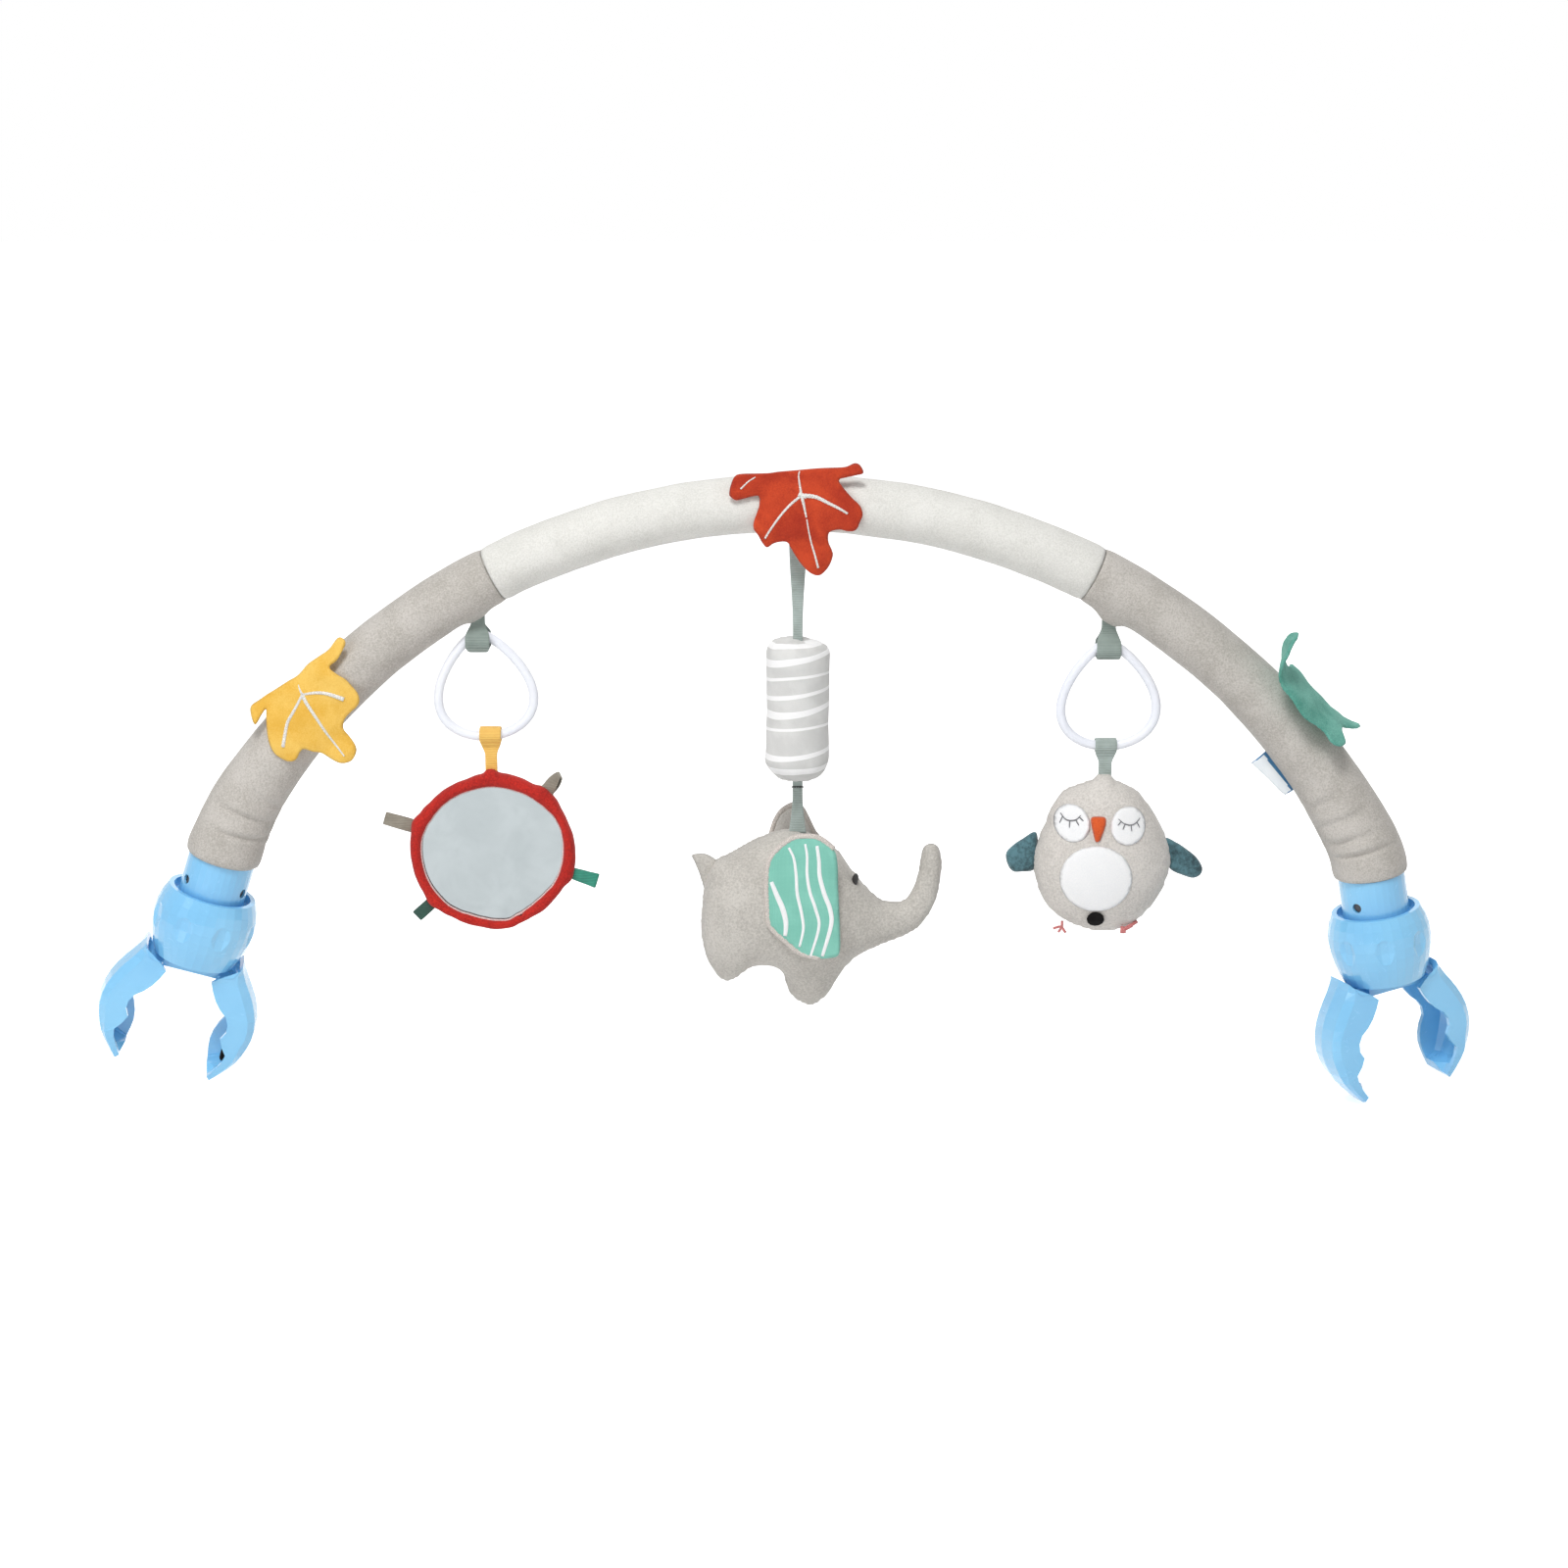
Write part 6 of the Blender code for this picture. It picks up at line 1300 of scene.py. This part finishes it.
# The threads' lines with their radius in mm
LASHES = {
    "left": (0.3, (
        ((123.4, 108.6), (125.3, 106.4), (127.6, 105.9), (130.2, 106.6), (132.2, 108.5)),
        ((124.3, 107.3), (123.0, 104.3)), ((127.4, 105.9), (127.2, 102.8)),
        ((130.0, 106.6), (131.4, 104.2)), ((131.6, 107.9), (133.4, 106.3)),
    )),
    "right": (0.24, (
        ((149.6, 107.3), (152.0, 105.3), (155.0, 104.4), (157.6, 105.0), (159.8, 107.0)),
        ((150.8, 106.2), (149.2, 104.6)), ((152.6, 105.0), (151.5, 102.6)),
        ((155.4, 104.4), (155.7, 101.6)), ((158.2, 105.4), (159.6, 102.8)),
    )),
}  # fmt: skip
FEET = {
    "left": (0.62, (
        ((125.8, 55.2), (125.8, 52.2)), ((125.7, 52.3), (121.8, 51.0)),
        ((125.7, 52.1), (124.4, 49.2)), ((125.8, 52.1), (127.4, 49.9)),
    )),
    "right": (0.85, (
        ((153.8, 53.4), (154.4, 51.0)), ((154.4, 53.0), (160.4, 55.4)),
        ((153.4, 54.2), (153.2, 51.0)), ((154.6, 52.6), (158.0, 54.0)),
    )),
}  # fmt: skip
FELT_THICKNESS = 1.1 * MM
FOOT_LEVEL = 56 * MM


def felt_patch(name, middle, radii, swell):
    """A felt disc that lies on the owl's swelling front."""
    outline = [
        (middle[0] + radii[0] * cos(turn), middle[1] + radii[1] * sin(turn))
        for turn in turns(40)
    ]

    def place(across, up, lift):
        return Vector((across, -swell(across, up) - FELT_THICKNESS / 2 - lift, up))

    height = pad_height(FELT_THICKNESS / 2, 0.7 * MM, 1.0 * MM, 0.1 * MM)
    mesh = sewn(f"owl_{name}_felt", in_metres(outline), 1.2 * MM, height, place)
    piece(f"owl_{name}_felt", mesh, "felt", "owl", (f"owl_{name}",))


def build_beak(swell):
    def place(across, up, lift):
        return Vector((across, -swell(across, up) - 0.6 * MM - lift, up))

    height = pad_height(1.9 * MM, 3.4 * MM)
    mesh = sewn("owl_beak_felt", in_metres(BEAK_OUTLINE), 0.8 * MM, height, place)
    piece("owl_beak_felt", mesh, "beak", "owl", ("owl_beak",))


def stitch_owl(swell):
    """The lashes on both eye patches and the threads of both feet."""
    for word, (radius, lines) in LASHES.items():
        for number, line in enumerate(lines):
            line = drawn(line, 0.4 * MM)
            points = [Vector((p.x, -swell(p.x, p.y) - 1.4 * MM, p.y)) for p in line]
            radii = swelling(radius * MM, len(points), 0.6, 0.4)
            cord(f"lash_{word}_{number}", points, radii, "grey_thread", "owl")
    for word, (radius, lines) in FEET.items():
        for number, line in enumerate(lines):
            points = []
            for spot in drawn(line, 0.5 * MM):
                depth = max(swell(spot.x, max(spot.y, FOOT_LEVEL)), 4 * MM)
                points.append(Vector((spot.x, -depth - 0.3 * MM, spot.y)))
            cord(f"foot_{word}_{number}", points, radius * MM, "pink_thread", "owl")


def wing(name, outline):
    def place(across, up, lift):
        return Vector((across, -lift + 0.8 * MM * crumple((across, up, 0), 12 * MM), up))

    height = pad_height(1.9 * MM, 3.2 * MM)
    mesh = sewn(f"wing_{name}", in_metres(outline), 1.2 * MM, height, place)
    body = f"owl_wing_{name}"
    piece(f"wing_{name}_cloth", mesh, "wing", body, (body,), 0.3)


def build_owl():
    """The plush body with its felt, stitches, wings and ribbon."""
    form = ("owl_plush", OWL_OUTLINE, 0.84, 1.6 * MM)
    swell = stuffed_piece(*form, "owl", "owl", ("owl_body",), 0.9)
    for patch in PATCHES:
        felt_patch(*patch, swell)
    build_beak(swell)
    stitch_owl(swell)
    for name, outline in WING_OUTLINES.items():
        wing(name, outline)
    shape = (3.15 * MM, (5.0 * MM, 3.0 * MM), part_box("owl_ribbon")[0].z - 3.2 * MM)
    hinge = JOINTS["owl_swing"]
    looped_ribbon("owl_hanging_ribbon", "owl_ribbon", hinge, *shape, "ribbon", "owl")


# Side tag


TAG_ANGLE = 52.0
TAG_ROWS = 16


def build_tag():
    """A plain folded tag on the inner side of the right leg: white faces with blue at its seam."""
    centre, outward = arch_point(1, TAG_ANGLE)
    direction = down_leg(1, TAG_ANGLE)
    base = centre - outward * sleeve_radius(1, TAG_ANGLE)
    rings = []
    for index in range(TAG_ROWS + 1):
        share = index / TAG_ROWS
        bow = 0.8 * MM * sin(share * 2.6)
        thick = 0.5 * MM * (1 - 0.25 * share)
        ring = []
        for turn in turns(28):
            across = squared(cos(turn), 0.25)
            reach = (8.4 if across < 0 else 4.9) * abs(across) ** 2 + 6.6 * (1 - across**2)
            wide = 11.6 * MM * across * (1 - 0.05 * share)
            out = -1.6 * MM + (reach + 1.6) * MM * share
            deep = thick * squared(sin(turn), 0.6)
            ring.append(base - outward * out + direction * wide + FRONT * (deep + bow))
        rings.append(ring)
    mesh = rings_mesh("plain_side_tag", rings)
    piece("plain_side_tag", mesh, "tag", "arch", ("side_tag",))
    mesh.materials.append(M["tag_edge"])
    for polygon in mesh.polygons:
        offset = polygon.center - base
        if -offset.dot(outward) < 1.5 * MM or abs(offset.dot(direction)) > 10.7 * MM:
            polygon.material_index = 1


build_sleeves()
build_leaves()
build_hangers()
build_ring("left", 5.5, 0.0)
build_ring("right", 0.0, 0.9 * MM)
build_mirror()
build_rattle()
build_elephant()
build_owl()
build_tag()


# Stage


FLOOR_SIZE = 6
FLOOR_GLOW = 0.68
WORLD_STRENGTH = 0.38
LAMP_TARGET = Vector((0, 0, 0.12))
LAMPS = (
    ("key", (-0.25, -1.1, 1.8), (0.5, 0.5), 21.5),
    ("strip", (-1.1, -1.25, 0.7), (0.12, 1.3), 4.6),
    ("rim", (0.2, 1.4, 1.2), (1.2, 1.2), 5.0),
)
CAMERA_TARGET = Vector((-0.0041, 0, 0.1196))
CAMERA_DISTANCE = 1.4
CAMERA_ELEVATION = 14
PHOTO_PIXELS = 1600
FOCAL_PIXELS = 3080
SENSOR_WIDTH = 36


def turn_to(obj, way):
    obj.rotation_mode = "QUATERNION"
    obj.rotation_quaternion = way.to_track_quat("-Z", "Y")


def lay_floor():
    """A pale floor under the toy that glows in the picture and in reflections only."""
    bm = bmesh.new()
    bmesh.ops.create_grid(bm, x_segments=1, y_segments=1, size=FLOOR_SIZE)
    mesh = bpy.data.meshes.new("floor")
    bm.to_mesh(mesh)
    bm.free()
    floor = link("floor", mesh)
    floor.location.z = min(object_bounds()[0].z, CAD_BOX[0].z) - 0.0002
    material = bpy.data.materials.new("pale_floor")
    material.use_nodes = True
    graph = Graph(material.node_tree)
    shader = graph.tree.nodes["Principled BSDF"]
    shader.inputs["Base Color"].default_value = (0.93, 0.93, 0.93, 1)
    shader.inputs["Roughness"].default_value = 0.9
    shader.inputs["Specular IOR Level"].default_value = 0.1
    rays = graph.add("LightPath")
    seen = graph.math("MAXIMUM", rays["Is Camera Ray"], rays["Is Glossy Ray"])
    glow = graph.add("Emission", {"Strength": graph.times(seen, FLOOR_GLOW)})
    both = graph.add("AddShader", {0: shader.outputs[0], 1: glow[0]})
    graph.feed(graph.tree.nodes["Material Output"].inputs["Surface"], both[0])
    mesh.materials.append(material)


def light_up():
    """A white world that is dimmer as a light than it looks, and three lamps."""
    world = bpy.data.worlds.new("studio")
    bpy.context.scene.world = world
    world.use_nodes = True
    graph = Graph(world.node_tree)
    back = graph.tree.nodes["Background"].inputs
    back["Color"].default_value = (1, 1, 1, 1)
    rays = graph.add("LightPath")
    seen = graph.math("MAXIMUM", rays["Is Camera Ray"], rays["Is Glossy Ray"])
    seen = graph.math("MAXIMUM", seen, rays["Is Transmission Ray"])
    graph.feed(back["Strength"], graph.add("MapRange", {0: seen, 3: WORLD_STRENGTH, 4: 1.0})[0])
    for name, place, size, power in LAMPS:
        lamp = bpy.data.lights.new(name, "AREA")
        lamp.shape = "RECTANGLE"
        lamp.size, lamp.size_y = size
        lamp.energy = power
        obj = link(name, lamp)
        obj.location = place
        turn_to(obj, LAMP_TARGET - Vector(place))


def camera():
    data = bpy.data.cameras.new("camera")
    data.sensor_width = SENSOR_WIDTH
    data.lens = FOCAL_PIXELS / PHOTO_PIXELS * SENSOR_WIDTH
    data.clip_start, data.clip_end = 0.05, 60
    elevation = radians(CAMERA_ELEVATION)
    back = Vector((0, -cos(elevation), sin(elevation)))
    obj = link("camera", data)
    obj.location = CAMERA_TARGET + back * CAMERA_DISTANCE
    turn_to(obj, -back)
    bpy.context.scene.camera = obj


lay_floor()
light_up()
camera()
bpy.context.scene.view_settings.view_transform = "Standard"
